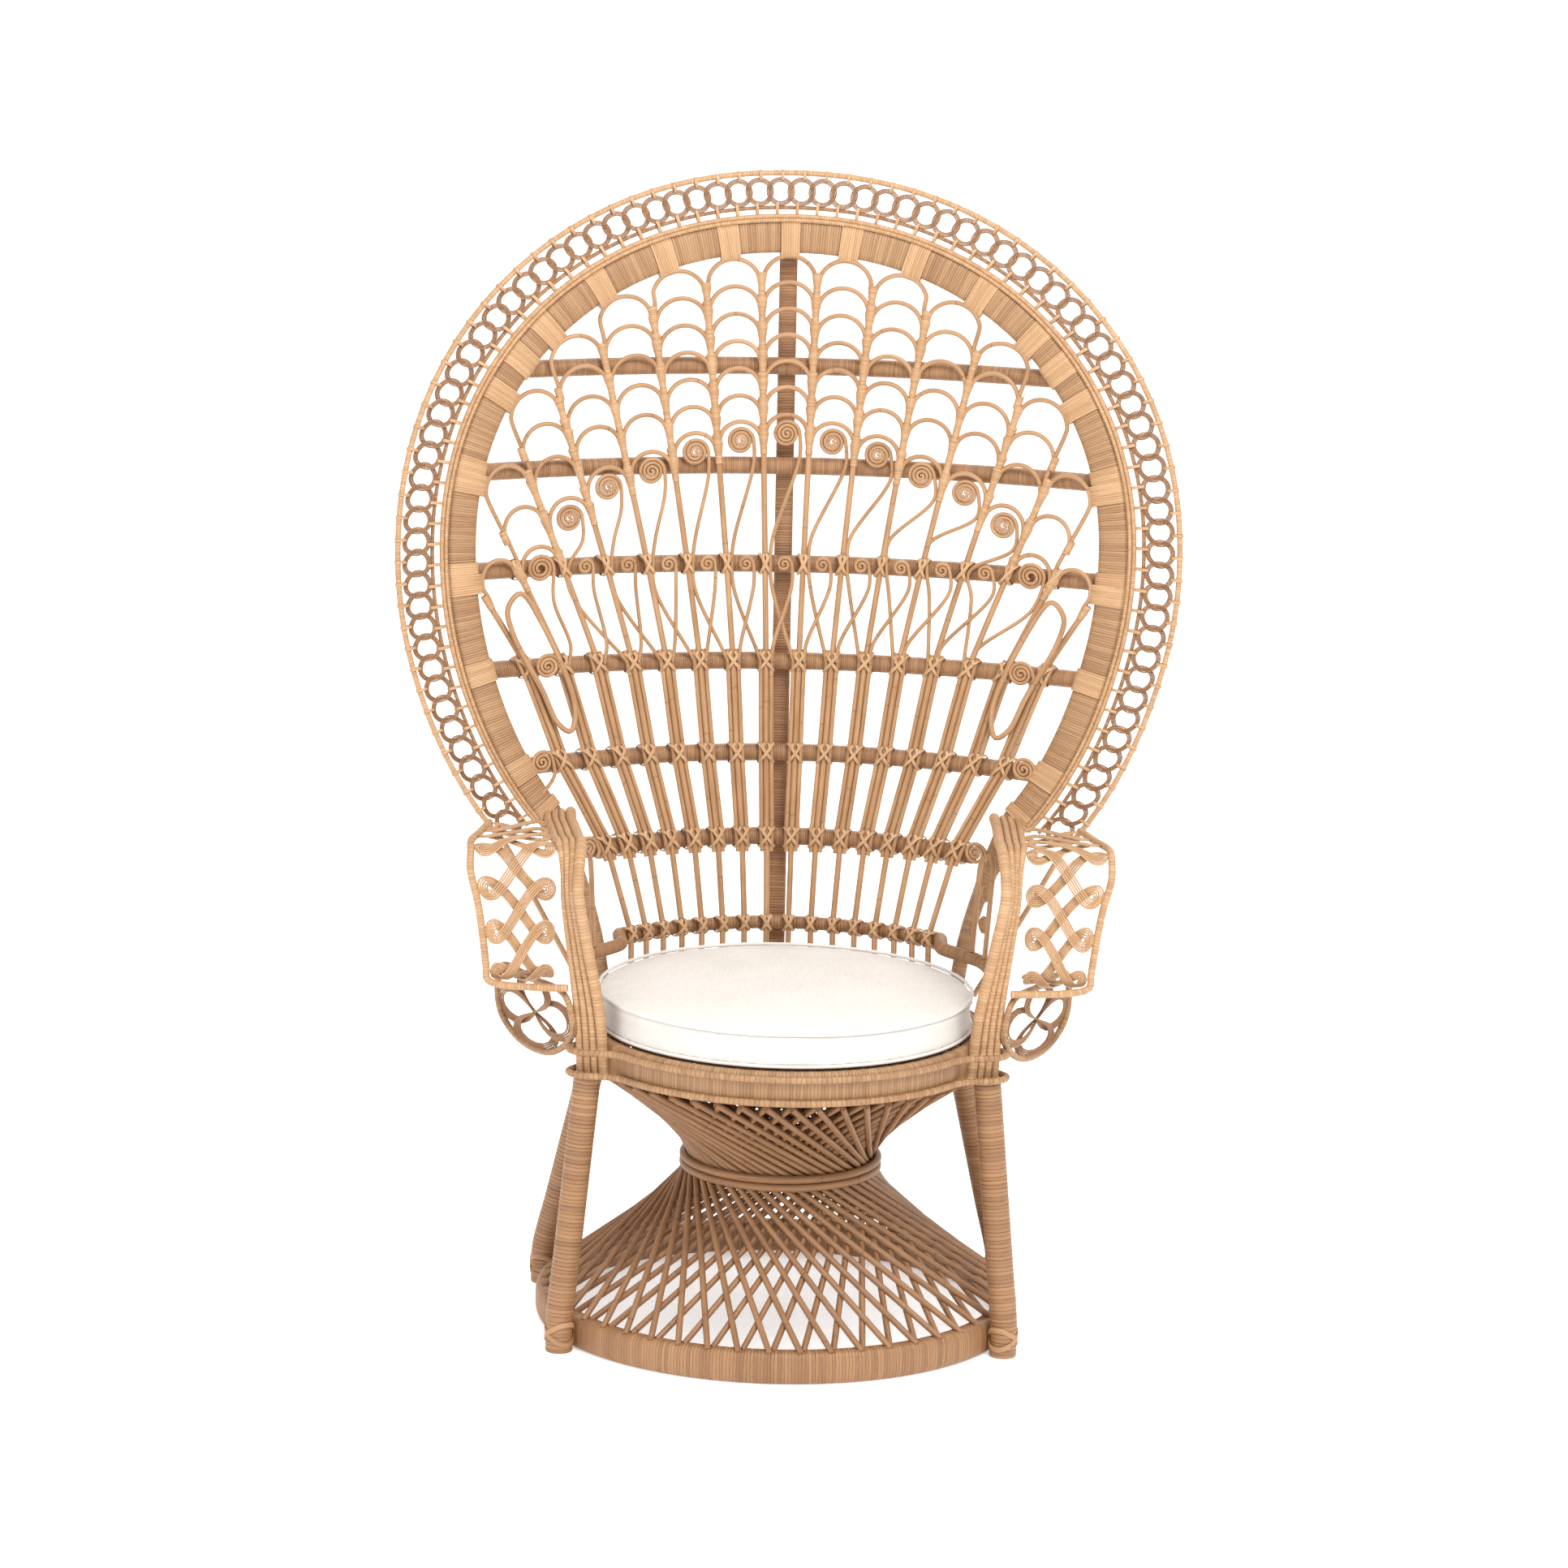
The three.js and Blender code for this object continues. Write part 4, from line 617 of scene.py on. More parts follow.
ROD_RADIUS = 4.5
FRONT_BUNDLE = (46, 15)
REAR_POST = (20, 30)
front_wrap = math.hypot(*FRONT_BUNDLE) / 2 + 0.3 + ROD_RADIUS
rear_wrap = math.hypot(*REAR_POST) / 2 + 3 + ROD_RADIUS
posts = [(x, y, front_wrap if y < 0 else rear_wrap) for x, y, _ in legs.values()]


def seat_rod_line(height):
    """A circle round the seat that bulges out round each post."""
    near = SEAT_RADIUS + 0.3 + ROD_RADIUS
    line = []
    for angle in np.linspace(0, 2 * math.pi, 241)[:-1]:
        ray = np.array([math.cos(angle), math.sin(angle)])
        reach = near
        for x, y, wrap in posts:
            along = ray @ (x, y)
            aside = abs(ray @ (-y, x)) if along > 0 else math.inf
            if aside < wrap:
                reach = max(reach, along + math.sqrt(wrap**2 - aside**2))
        line.append((reach * ray[0], reach * ray[1], height))
    line = np.array(line)
    for _ in range(5):
        line[:, :2] = (np.roll(line, 1, 0) + 2 * line + np.roll(line, -1, 0))[:, :2] / 4
    return line


for name, height in (("seat_rod_upper", 396), ("seat_rod_lower", 366)):
    rod = wrapped_pole(seat_rod_line(height)[::3], ROD_RADIUS, strip=6.5, sides=12, closed=True, sink=0.3)
    make_piece(f"{name}_wrapped", [(rod, peel)], [name])

# %% [markdown]
# ## The face of the back
# The back leans, its wings curl forward, and low down it wraps round the seat. One function
# gives its depth at any place, and another the way it faces there. Everything in the fan and
# the hoop is laid out on that face, in width and height, as on a drawing, and then bent with it.

# %% The face of the back
BACK_START = 253
BACK_LEAN = 156
BACK_HEIGHT = 1050
WING_CURL = 100
WING_REACH = 410
SEAT_CURL = 78
SEAT_REACH = 200
SEAT_CURL_TOP = 850


def back_depth(x, z):
    """How far back the face stands at a width and a height."""
    low = np.maximum((SEAT_CURL_TOP - z) / (SEAT_CURL_TOP - SEAT_TOP), 0)
    lean = BACK_START + BACK_LEAN * (z - SEAT_TOP) / BACK_HEIGHT
    return lean - WING_CURL * (x / WING_REACH) ** 2 - SEAT_CURL * (x / SEAT_REACH) ** 2 * low**2


def on_back(flat, forward=0.0):
    """Places on the face, with the way it faces, for places given as width and height."""
    flat = np.asarray(flat, float)
    x, z = flat[:, 0], flat[:, 1]
    slope_x = (back_depth(x + 1, z) - back_depth(x - 1, z)) / 2
    slope_z = (back_depth(x, z + 1) - back_depth(x, z - 1)) / 2
    facing = unit(np.stack([slope_x, -np.ones(len(x)), slope_z], axis=1))
    if flat.shape[1] > 2:
        forward = forward + flat[:, 2:3]
    places = np.stack([x, back_depth(x, z), z], axis=1) + facing * forward
    return np.hstack([places, facing])


# %% [markdown]
# ## The hoop
# From the rim inward the hoop has a thin wrapped rod, a lace of overlapping rings, an inner
# rod, two wrapped beads side by side, and the broad band that carries everything. All of them
# follow one outline at different insets. The band turns edge-on at each shoulder and runs down
# as the rear post.

# %% The hoop's outline
HOOP_HALF_WIDTH = 512
HOOP_WIDEST = 982
HOOP_RISE = 473
HOOP_DROP = 540
HOOP_END = math.radians(134)
ROUNDNESS = 2.15
DROP_PER_INSET = 0.44
BAND_INSET = 87.9
BAND_EDGE = 108.1


def outline_reach(inset, is_above):
    """How far the outline reaches above or below its widest place, and how round it is there."""
    return (HOOP_RISE - inset, ROUNDNESS) if is_above else (HOOP_DROP - DROP_PER_INSET * inset, 2)


def hoop_place(angle, inset):
    """Width and height on the hoop at an angle from its top and an inset from its rim."""
    sine, cosine = math.sin(angle), math.cos(angle)
    reach, roundness = outline_reach(inset, cosine >= 0)
    x = (HOOP_HALF_WIDTH - inset) * math.copysign(abs(sine) ** (2 / roundness), sine)
    return x, HOOP_WIDEST + reach * math.copysign(abs(cosine) ** (2 / roundness), cosine)


def hoop_line(inset, steps=120, start=-1.0, end=1.0):
    """Places along the hoop at one inset. The ends are shares of its half turn."""
    return [hoop_place(HOOP_END * share, inset) for share in np.linspace(start, end, steps + 1)]


def is_inside(x, z, clearance=0.0):
    """Whether a place on the face lies inside the band by a clearance."""
    inset = BAND_EDGE + clearance
    reach, roundness = outline_reach(inset, z > HOOP_WIDEST)
    across = abs(x) / (HOOP_HALF_WIDTH - inset)
    return across**roundness + (abs(z - HOOP_WIDEST) / reach) ** roundness < 1


POST_SPREAD = 230
POST_BACK = 158


def band_line(inset=BAND_INSET, recess=-4.0):
    """The band's line with the way it faces and, last, how far it has turned edge-on."""
    flat = hoop_line(inset)
    middle = np.hstack([on_back(flat, recess), np.zeros((len(flat), 1))])
    end_x, end_z = flat[-1]
    shoulder = back_depth(end_x, end_z)
    right = []
    for share in np.linspace(0, 1, 13)[1:]:
        ease = 1 - (1 - share) ** 2
        x = end_x + (POST_SPREAD - end_x) * ease
        z = end_z + (LEG_TOP - end_z) * share
        turned = min(share * 2.5, 1)
        face = on_back([(x, max(z, SEAT_TOP))])[0, 3:6] * (1 - turned) + np.array([-1, 0, 0]) * turned
        right.append([x, shoulder + (POST_BACK - shoulder) * share, z, *unit(face), turned])
    right = np.array(right)
    left = right * (-1, 1, 1, -1, 1, 1, 1)
    return np.vstack([left[::-1], middle, right])


# %% Hoop band, beads and rim
band = band_line()
band_lengths = lengths_along(band)
BAND_HALF_WIDTH = 20.3
BAND_HALF_DEPTH = 8
turned_at = lambda share: np.interp(share, band_lengths / band_lengths[-1], band[:, 6])
half_width_at = lambda share: BAND_HALF_WIDTH - 5.3 * turned_at(share)
half_depth_at = lambda share: BAND_HALF_DEPTH + 2 * turned_at(share)
band_shape = dict(strip=3.3, sides=20, depth=half_depth_at, squareness=0.66, smooth=False)
hoop = [(wrapped_pole(band, half_width_at, **band_shape), peel)]

BEAD_INSETS = (60.3, 65.6)
BEAD_RADIUS = 3.0
beads = []
for inset in BEAD_INSETS:
    bead = wrapped_pole(on_back(hoop_line(inset), 1.0), BEAD_RADIUS, strip=3.4, sides=10, sink=0.22)
    beads.append((bead, peel_fair))
make_piece("hoop_beads_wrapped", beads, ["hoop_beads"])

RIM_INSET = 4.2
RIM_RADIUS = 3.8
rim_line = list(on_back(hoop_line(RIM_INSET))[:, :3])
rim_end = rim_line[-1]
rim_foot = np.array([POST_SPREAD + rear_wrap, POST_BACK, SEAT_TOP - 1])
for share in (0.35, 0.7, 1):
    spot = rim_end + (rim_foot - rim_end) * share
    rim_line.append(spot)
    rim_line.insert(0, spot * (-1, 1, 1))
rim = [(wrapped_pole(rim_line, RIM_RADIUS, strip=4.0, sides=10, sink=0.2), peel_fair)]
make_piece("rim_rod_wrapped", rim, ["rim_rod"])

INNER_ROD_INSET = 49.2
INNER_ROD_RADIUS = 2.7
inner_line = on_back(hoop_line(INNER_ROD_INSET), -1.5)
inner_rods = [(wrapped_pole(inner_line, INNER_ROD_RADIUS, strip=3.6, sides=10, sink=0.2), peel_brown)]

# %% [markdown]
# ## The border's lace
# Each ring is three thin canes laid side by side. Every ring overlaps its neighbour by about a
# quarter of its width: it passes over the next one near the rim and under it near the band, which
# is a chain that can't come apart. The overlaps make the pointed ovals that give the border its
# look. Short strips of peel tie every ring to the rim outside and to the rod inside.

# %% Border rings
RING_MIDDLE = 28.6
RING_RADIUS = 15.6
RING_PITCH = 27.4
RING_LIFT = 2.2
RING_CANE = 1.1
RING_SPACING = 2.15
PEEL_REACH = 2.2
fine_middle = np.array(hoop_line(RING_MIDDLE, 400))
middle_lengths = lengths_along(np.hstack([fine_middle, np.zeros((401, 1))]))
ring_count = round((middle_lengths[-1] - 2 * RING_RADIUS) / RING_PITCH)
ring_starts = np.linspace(RING_RADIUS + 3, middle_lengths[-1] - RING_RADIUS - 3, ring_count)


def ring_place(along, inset):
    """Width and height at a length along the middle of the border, and at an inset."""
    share = np.interp(along, middle_lengths, np.linspace(-1, 1, 401))
    return hoop_place(HOOP_END * share, inset)


rings = []
for start in ring_starts:
    for offset in (-RING_SPACING, 0, RING_SPACING):
        flat = []
        for turn in np.linspace(0, 2 * math.pi, 25)[:-1]:
            reach = RING_RADIUS + offset
            x, z = ring_place(start + reach * math.sin(turn), RING_MIDDLE - reach * math.cos(turn))
            flat.append((x, z, RING_LIFT * math.sin(2 * turn)))
        rings.append((bent_cane(on_back(flat), RING_CANE, step=4.4, sides=6, closed=True), cane_brown))
make_piece("border_rings_canes", rings, ["border_rings"])


def tie(ends, depth):
    """A strip of peel tied round two canes: an oval loop that is long from one end to the other."""
    middle = ends.mean(axis=0)
    apart = ends[1, :3] - ends[0, :3]
    reach = np.linalg.norm(apart) / 2
    long_way = unit(apart)
    facing = middle[3:6]
    points = []
    for step in range(13):
        angle = step / 12 * 2 * math.pi
        outward = long_way * math.cos(angle) + facing * math.sin(angle)
        spot = middle[:3] + long_way * reach * math.cos(angle) + facing * depth * math.sin(angle)
        points.append((*spot, *outward))
    return bent_cane(points, PEEL_REACH, step=3.5, sides=6, depth=0.6, squareness=0.8, smooth=False)


outer_ties = []
inner_ties = []
# where each kind of tie goes: its shift along the border, its two insets and its depth
tie_kinds = ((outer_ties, 3, -0.2, 14.6, 5.0), (inner_ties, -5, 40.5, 59.0, 4.6))
for start in ring_starts:
    for found, shift, low, high, depth in tie_kinds:
        ends = on_back([ring_place(start + shift, low), ring_place(start + shift, high)])
        found.append((tie(ends, depth), cane_fair))
make_piece("border_inner_rods", inner_rods + outer_ties + inner_ties, ["border_inner_rod"])
print(f"{ring_count} rings in the border")

# %% [markdown]
# ## Rails and stakes
# Seven wrapped rails cross the back. Sixteen stakes rise from the seat in front of them and
# spread like a fan: each has its number, counted in halves from the middle, and a table of
# spacings says where it stands at each rail. From the second rail to the fourth every stake is
# three canes side by side. Where the two outer ones end, the tails of the scrolls begin.

# %% Where rails and stakes stand
RAILS = (472, 585, 695, 815, 942, 1070, 1200)
RAIL_RADIUS = 12
LOW_RAIL_RADIUS = 9
STAKE_RADIUS = 5
STAKE_GAP = 1.4
RAIL_BEHIND = -(STAKE_RADIUS + STAKE_GAP + RAIL_RADIUS)
PITCHES = (29.5, 29.5, 32.8, 38.6, 43.3, 50.5, 58.5, 66.5)
SPLAYS = (-0.0021, -0.0021, -0.0012, 0, 0.0007, 0.0017, 0.0021, 0.0025)
STAKES_PER_SIDE = 8
numbers = [order + 0.5 for order in range(-STAKES_PER_SIDE, STAKES_PER_SIDE)]
table_heights = np.array((SEAT_TOP, *RAILS))


def from_table(values, height):
    """A value between two rails, carried on in a line above the last one."""
    place = min(max(int(np.searchsorted(table_heights, height)), 1), len(table_heights) - 1)
    low, high = table_heights[place - 1], table_heights[place]
    return values[place - 1] + (values[place] - values[place - 1]) * (height - low) / (high - low)


def stake_x(number, height):
    """Where a stake stands at a height."""
    return number * from_table(PITCHES, height) * (1 + from_table(SPLAYS, height) * number**2)


def meets_band(number, clearance):
    """The height where the line of a stake meets the band's inner edge."""
    height = RAILS[3]
    while is_inside(stake_x(number, height), height, clearance):
        height += 1
    return height


def rail_reach(height, inset=BAND_INSET):
    """Half the length of a rail, up to the middle of the band."""
    offset = height - HOOP_WIDEST
    reach, roundness = outline_reach(inset, offset > 0)
    return (HOOP_HALF_WIDTH - inset) * (1 - (abs(offset) / reach) ** roundness) ** (1 / roundness)


# %% [markdown]
# ## Rails and centre post
# Each rail is a level pole, bent along the face of the back from one side of the band to the
# other. The lowest rail goes on round the seat: inside the rear posts and forward to the front
# ones. The centre post is a flat pole behind the rails.

# %% Rails and centre post
for order, height in enumerate(RAILS[1:], start=2):
    reach = rail_reach(height, BAND_EDGE - 6)
    flat = [(x, height) for x in np.linspace(-reach, reach, 25)]
    rail = wrapped_pole(on_back(flat, RAIL_BEHIND), RAIL_RADIUS - 0.2, strip=3.1, sides=14, sink=0.3)
    make_piece(f"rail_{order}_wrapped", [(rail, peel_brown)], [f"rail_{order}"])

low_height = RAILS[0]
outer_x = stake_x(STAKES_PER_SIDE - 0.5, low_height)
inside_post = POST_SPREAD - REAR_POST[0] / 2 - 0.6 - LOW_RAIL_RADIUS
flat = [(outer_x * share, low_height) for share in np.linspace(-1, 1, 17)]
low_middle = on_back(flat, -(STAKE_RADIUS + STAKE_GAP + LOW_RAIL_RADIUS))[:, :3]
post_front = POST_BACK - REAR_POST[1] / 2

ARM_TOP = 652
KNEE_RADIUS = 48
KNEE_START = ARM_TOP - KNEE_RADIUS
FRONT_LOW = -115
FRONT_LEAN = 11
FRONT_SPREAD = 249
FRONT_FLARE = 31


def front_line(height):
    """How far forward and how far out the front posts stand at a height."""
    share = (height - LEG_TOP) / (KNEE_START - LEG_TOP)
    out = min(max((height - SEAT_TOP) / 190, 0), 1)
    return FRONT_LOW + FRONT_LEAN * share, FRONT_SPREAD + FRONT_FLARE * out


low_end = front_line(low_height)[0] + 7.8
corner_y = (float(back_depth(outer_x, low_height)), POST_BACK, post_front - LOW_RAIL_RADIUS)
low_side = [(inside_post, y, low_height) for y in corner_y]
# from the post forward the lowest rail rounds the seat and draws out by 16 mm
for share in (0.3, 0.5, 0.7, 0.85, 1):
    y = post_front + (low_end - post_front) * share
    low_side.append((math.sqrt((262 + 16 * share**2) ** 2 - y**2), y, low_height))
low_side = np.array(low_side)
low_line = np.vstack([(low_side * (-1, 1, 1))[::-1], low_middle, low_side])
low_rail = wrapped_pole(low_line, LOW_RAIL_RADIUS, strip=4.4, sides=14)
make_piece("rail_1_wrapped", [(low_rail, peel_brown)], ["rail_1"])

post_top = meets_band(0, 0.3)
post_behind = RAIL_BEHIND - RAIL_RADIUS - STAKE_RADIUS + 0.7
post_flat = [(0, z) for z in np.linspace(SEAT_TOP + 1, post_top + 8, 17)]
post_line = on_back(post_flat, post_behind)
post = wrapped_pole(post_line, 12, strip=3.7, sides=16, depth=5, squareness=0.7)
make_piece("centre_post_wrapped", [(post, peel_brown)], ["centre_post"])

# %% [markdown]
# ## Arches and scrolls
# Between each pair of stakes, small canes are bent over like roof tiles, row above row, and
# every foot is bound to its stake with a few turns of peel. The highest arch of a column just
# fits under the band, so it is found by lowering it until all of it lies inside, and its outer
# leg runs on down to where the arch beside it stands. The lowest arch shelters a scroll: a thin
# cane wound flat on itself, some three times round, whose tail crosses from one stake to the
# next on its way down. A smaller scroll sits on the rail below.

# %% Arches and scrolls
ARCH_ROWS = (7, 7, 7, 6, 5, 4, 3, 1)
ARCH_PITCHES = (34, 35.4, 35.2, 38.5, 39.5, 43, 54, 54)
SCROLL_ARCH_PITCHES = (36, 34, 34, 48, 53, 54, 52, 52)
ARCH_RADIUS = 3.0
ARCH_RISE = 0.32
ARCH_HALF_ANGLE = math.radians(68)
TAIL_RADIUS = 2.6
SCROLL_RADIUS = 2.3
SCROLL_PITCH = 4.7
BIG_SCROLL = 19.5
SMALL_SCROLL = 12.2
SIDE_SCROLL = 16.5
SCROLL_DROP = 25
LEG_DROP = 26
FOOT_ASIDE = 4.6
FOOT_TUCK = 11


def lean_factor(number, height):
    """How much wider a leaning stake is along the level than straight across."""
    return math.hypot(1, (stake_x(number, height + 1) - stake_x(number, height - 1)) / 2)


def arch_line(left, right, crown, steps=12):
    """Places along an arch from the stake on its left to the one on its right."""
    inner = lambda height: stake_x(left, height) + FOOT_ASIDE
    outer = lambda height: stake_x(right, height) - FOOT_ASIDE
    width = outer(crown) - inner(crown)
    rise = ARCH_RISE * width
    middle = (left + right) / 2
    slope = (stake_x(middle, crown) - stake_x(middle, crown - rise)) / rise
    line = []
    for angle in np.linspace(-ARCH_HALF_ANGLE, ARCH_HALF_ANGLE, steps + 1):
        share = (1 + math.sin(angle) / math.sin(ARCH_HALF_ANGLE)) / 2
        drop = rise * (1 - math.cos(angle)) / (1 - math.cos(ARCH_HALF_ANGLE))
        height = crown - drop - (share - 0.5) * slope * width
        line.append((inner(height) + (outer(height) - inner(height)) * share, height))
    return line


def top_crown(left, right):
    """The height of the highest arch of a column."""
    clearance = ARCH_RADIUS + 0.3
    crown = meets_band((left + right) / 2, clearance)
    while not all(is_inside(x, z, clearance) for x, z in arch_line(left, right, crown, 8)):
        crown -= 1
    return crown


def neighbour_foot(stake, side):
    """The height of the near foot of the highest arch on a stake's other side."""
    left, right = sorted((stake, stake + side))
    line = arch_line(left, right, top_crown(left, right))
    return line[0 if side > 0 else -1][1]


def leg(stake, side, foot, is_top):
    """Where an arch's leg runs on below its foot, into the winding of the stake."""
    low = foot
    if is_top and abs(stake + side) > numbers[-1]:
        low -= LEG_DROP - FOOT_TUCK
    elif is_top:
        low = min(foot, neighbour_foot(stake, side))
    end = (stake_x(stake, low - FOOT_TUCK) - 1.5 * side, low - FOOT_TUCK)
    if foot - low < FOOT_TUCK:
        return [end]
    return [(stake_x(stake, low + 6) - FOOT_ASIDE * side, low + 6), end]


def scroll_between(left, right, height, wanted):
    """The radius of a scroll that has to fit between two stakes."""
    width = (stake_x(right, height) - stake_x(left, height)) / lean_factor(right, height)
    return min(wanted, width / 2 - STAKE_RADIUS - 0.6)


def spiral(radius, steps, start=0.0, way=1):
    """Offsets along a flat spiral that winds in, sixteen to a turn."""
    found = []
    for step in range(steps):
        angle = start + way * step / 16 * 2 * math.pi
        reach = radius - SCROLL_RADIUS - SCROLL_PITCH * step / 16
        found.append((reach * math.cos(angle), reach * math.sin(angle)))
    return found


def scroll(centre, radius, turns, tail, forward=0.0):
    """A cane that comes up its tail, joins the scroll on its right and winds in."""
    flat = [tuple(place) for place in tail]
    flat += [(centre[0] + x, centre[1] + z) for x, z in spiral(radius, int(turns * 16) + 1)]
    along = lambda share: np.interp(share, (0, 0.25, 1), (TAIL_RADIUS, SCROLL_RADIUS + 0.3, SCROLL_RADIUS))
    return bent_cane(on_back(flat, forward), along, step=3.2, sides=8)


def column_canes(left, right):
    """The arches and scrolls between two stakes, and the heights of the arches' feet."""
    middle = (left + right) / 2
    order = abs(round(middle))
    canes, feet = [], []
    crown = top_crown(left, right)
    rows = ARCH_ROWS[order]
    for row in range(rows):
        if row > 0:
            crown -= (ARCH_PITCHES if row < rows - 1 else SCROLL_ARCH_PITCHES)[order]
        line = arch_line(left, right, crown)
        z1, z2 = line[0][1], line[-1][1]
        start = leg(left, -1, z1, row == 0)[::-1]
        end = leg(right, 1, z2, row == 0)
        canes.append((bent_cane(on_back([*start, *line, *end], 1.0), ARCH_RADIUS, step=4, sides=8), cane))
        feet.append((z1, z2))
    if rows == 1:
        return canes, feet
    low = RAILS[3]
    rail = RAILS[4]
    left_at = lambda height: stake_x(left, height) + 4 + TAIL_RADIUS
    right_at = lambda height: stake_x(right, height) - 4 - TAIL_RADIUS
    is_end = order == len(ARCH_ROWS) - 2
    if not is_end:
        height = crown - SCROLL_DROP
        radius = scroll_between(left, right, height, BIG_SCROLL)
        centre = (stake_x(middle, height), height)
        foot = (min(centre[0] + radius - 1.5, right_at(height - 1.5 * radius)), height - 1.5 * radius)
        tail = [(right_at(low), low), (left_at(rail) + 4, rail - 34), (left_at(rail), rail)]
        if height - rail >= 2 * (SCROLL_DROP + radius):
            tail.append((left_at(rail) + 3, rail + 34))
        canes.append((scroll(centre, radius, 3.4, [*tail, foot]), cane))
    radius = scroll_between(left, right, rail, BIG_SCROLL if is_end else SMALL_SCROLL)
    centre = (stake_x(middle, rail), rail)
    foot = (min(centre[0] + radius - 1.5, right_at(rail - 2.2 * radius)), rail - 2.2 * radius)
    tail = [(left_at(low), low), (left_at(low) + 3, low + 24), foot]
    turns, forward = (2.7, 0.0) if is_end else (2.1, 3.0)
    canes.append((scroll(centre, radius, turns, tail, forward), cane))
    return canes, feet


# %% [markdown]
# ## Stakes, bindings and crossings
# A stake ends at the lower of the feet of its two highest arches. From there down to the scrolls
# it is wound with peel, a little thicker under each foot, and a foot that lies higher has a
# collar of peel of its own. Where a stake crosses a rail, two strips of peel cross over it and go
# round the rail behind, which is the lashing that holds the fan flat.

# %% The fan
BARE_RADIUS = 4.0
WOUND_RADIUS = 4.9
COLLAR_RADIUS = 5.4
BUNDLE_CANE = 3.1
BUNDLE_SPACING = 6.8
FOOT_WINDING = 26
BUNDLE_CROSSING = 9.5
STAKE_CROSSING = 6.5
bundle_low = RAILS[1] - RAIL_RADIUS
bundle_high = RAILS[3] + RAIL_RADIUS
bundle_marks = (bundle_low - 7, bundle_low + 4, bundle_high - 8, bundle_high + 4)
bundle_heights = np.linspace(bundle_marks[0], bundle_marks[-1], 14)
bundle_spread = np.interp(bundle_heights, bundle_marks, (0.82, 1, 1, 0.9))
columns = {left: ([], []) for left in (numbers[0] - 1, numbers[-1])}
for left in numbers[:-1]:
    columns[left] = column_canes(left, left + 1)


def feet_on(number, rows=slice(None)):
    """The heights of the arches' feet on a stake: those on its right, then those on its left."""
    right = [foot for foot, _ in columns[number][1][rows]]
    return right + [foot for _, foot in columns[number - 1][1][rows]]


def stake_top(number):
    """The height of a stake's top: at the lower of the feet of its two highest arches."""
    return min(meets_band(number, STAKE_RADIUS + 0.3), min(feet_on(number, slice(0, 1))) + 1)


def crossing(number, height, radius):
    """Two strips that cross over a stake on a rail and go round behind it."""
    x = stake_x(number, height)
    wide = BUNDLE_CROSSING if bundle_low <= height <= bundle_high else STAKE_CROSSING
    slope = (stake_x(number, height + 5) - stake_x(number, height - 5)) / 10
    strips = []
    front = STAKE_RADIUS + 1.1
    behind = -(STAKE_RADIUS + STAKE_GAP + 2 * radius) - 1.0
    for side in (-1, 1):
        # across, up and out of the face: over the stake's front and round behind the rail
        flat = [
            (side * wide * 0.25, radius + 1.2, front - 1.0),
            (side * wide * 0.5, radius * 0.62, front),
            (0, 0, front + 0.5 + 0.4 * side),
            (-side * wide * 0.62, -radius * 0.62, front - 0.6),
            (-side * wide, -radius - 0.5, front - 7),
            (-side * wide * 0.9, -radius - 0.3, behind / 2 - 2),
            (-side * wide * 0.3, -radius * 0.4, behind),
            (side * wide * 0.6, radius * 0.5, behind),
            (side * wide * 0.9, radius + 0.3, behind / 2 - 2),
            (side * wide, radius + 0.5, front - 7),
            (side * wide * 0.5, radius * 0.62, front),
        ]
        places = on_back([(x + a + slope * b, height + b) for a, b, _ in flat])
        line = places.copy()
        line[:, :3] += places[:, 3:6] * np.array([c for _, _, c in flat])[:, None]
        centre = on_back([(x, height)], RAIL_BEHIND / 2)[0, :3]
        line[:, 3:6] = unit(line[:, :3] - centre)
        strips.append((bent_cane(line, PEEL_REACH, step=3, sides=6, depth=0.8, squareness=0.8), cane_fair))
    return strips


def foot_swell(above):
    """How much thicker the winding is at a height above an arch's foot."""
    return 2.6 * max(0, 1 - abs(above - 1) / 16) if above < 2.5 else 0


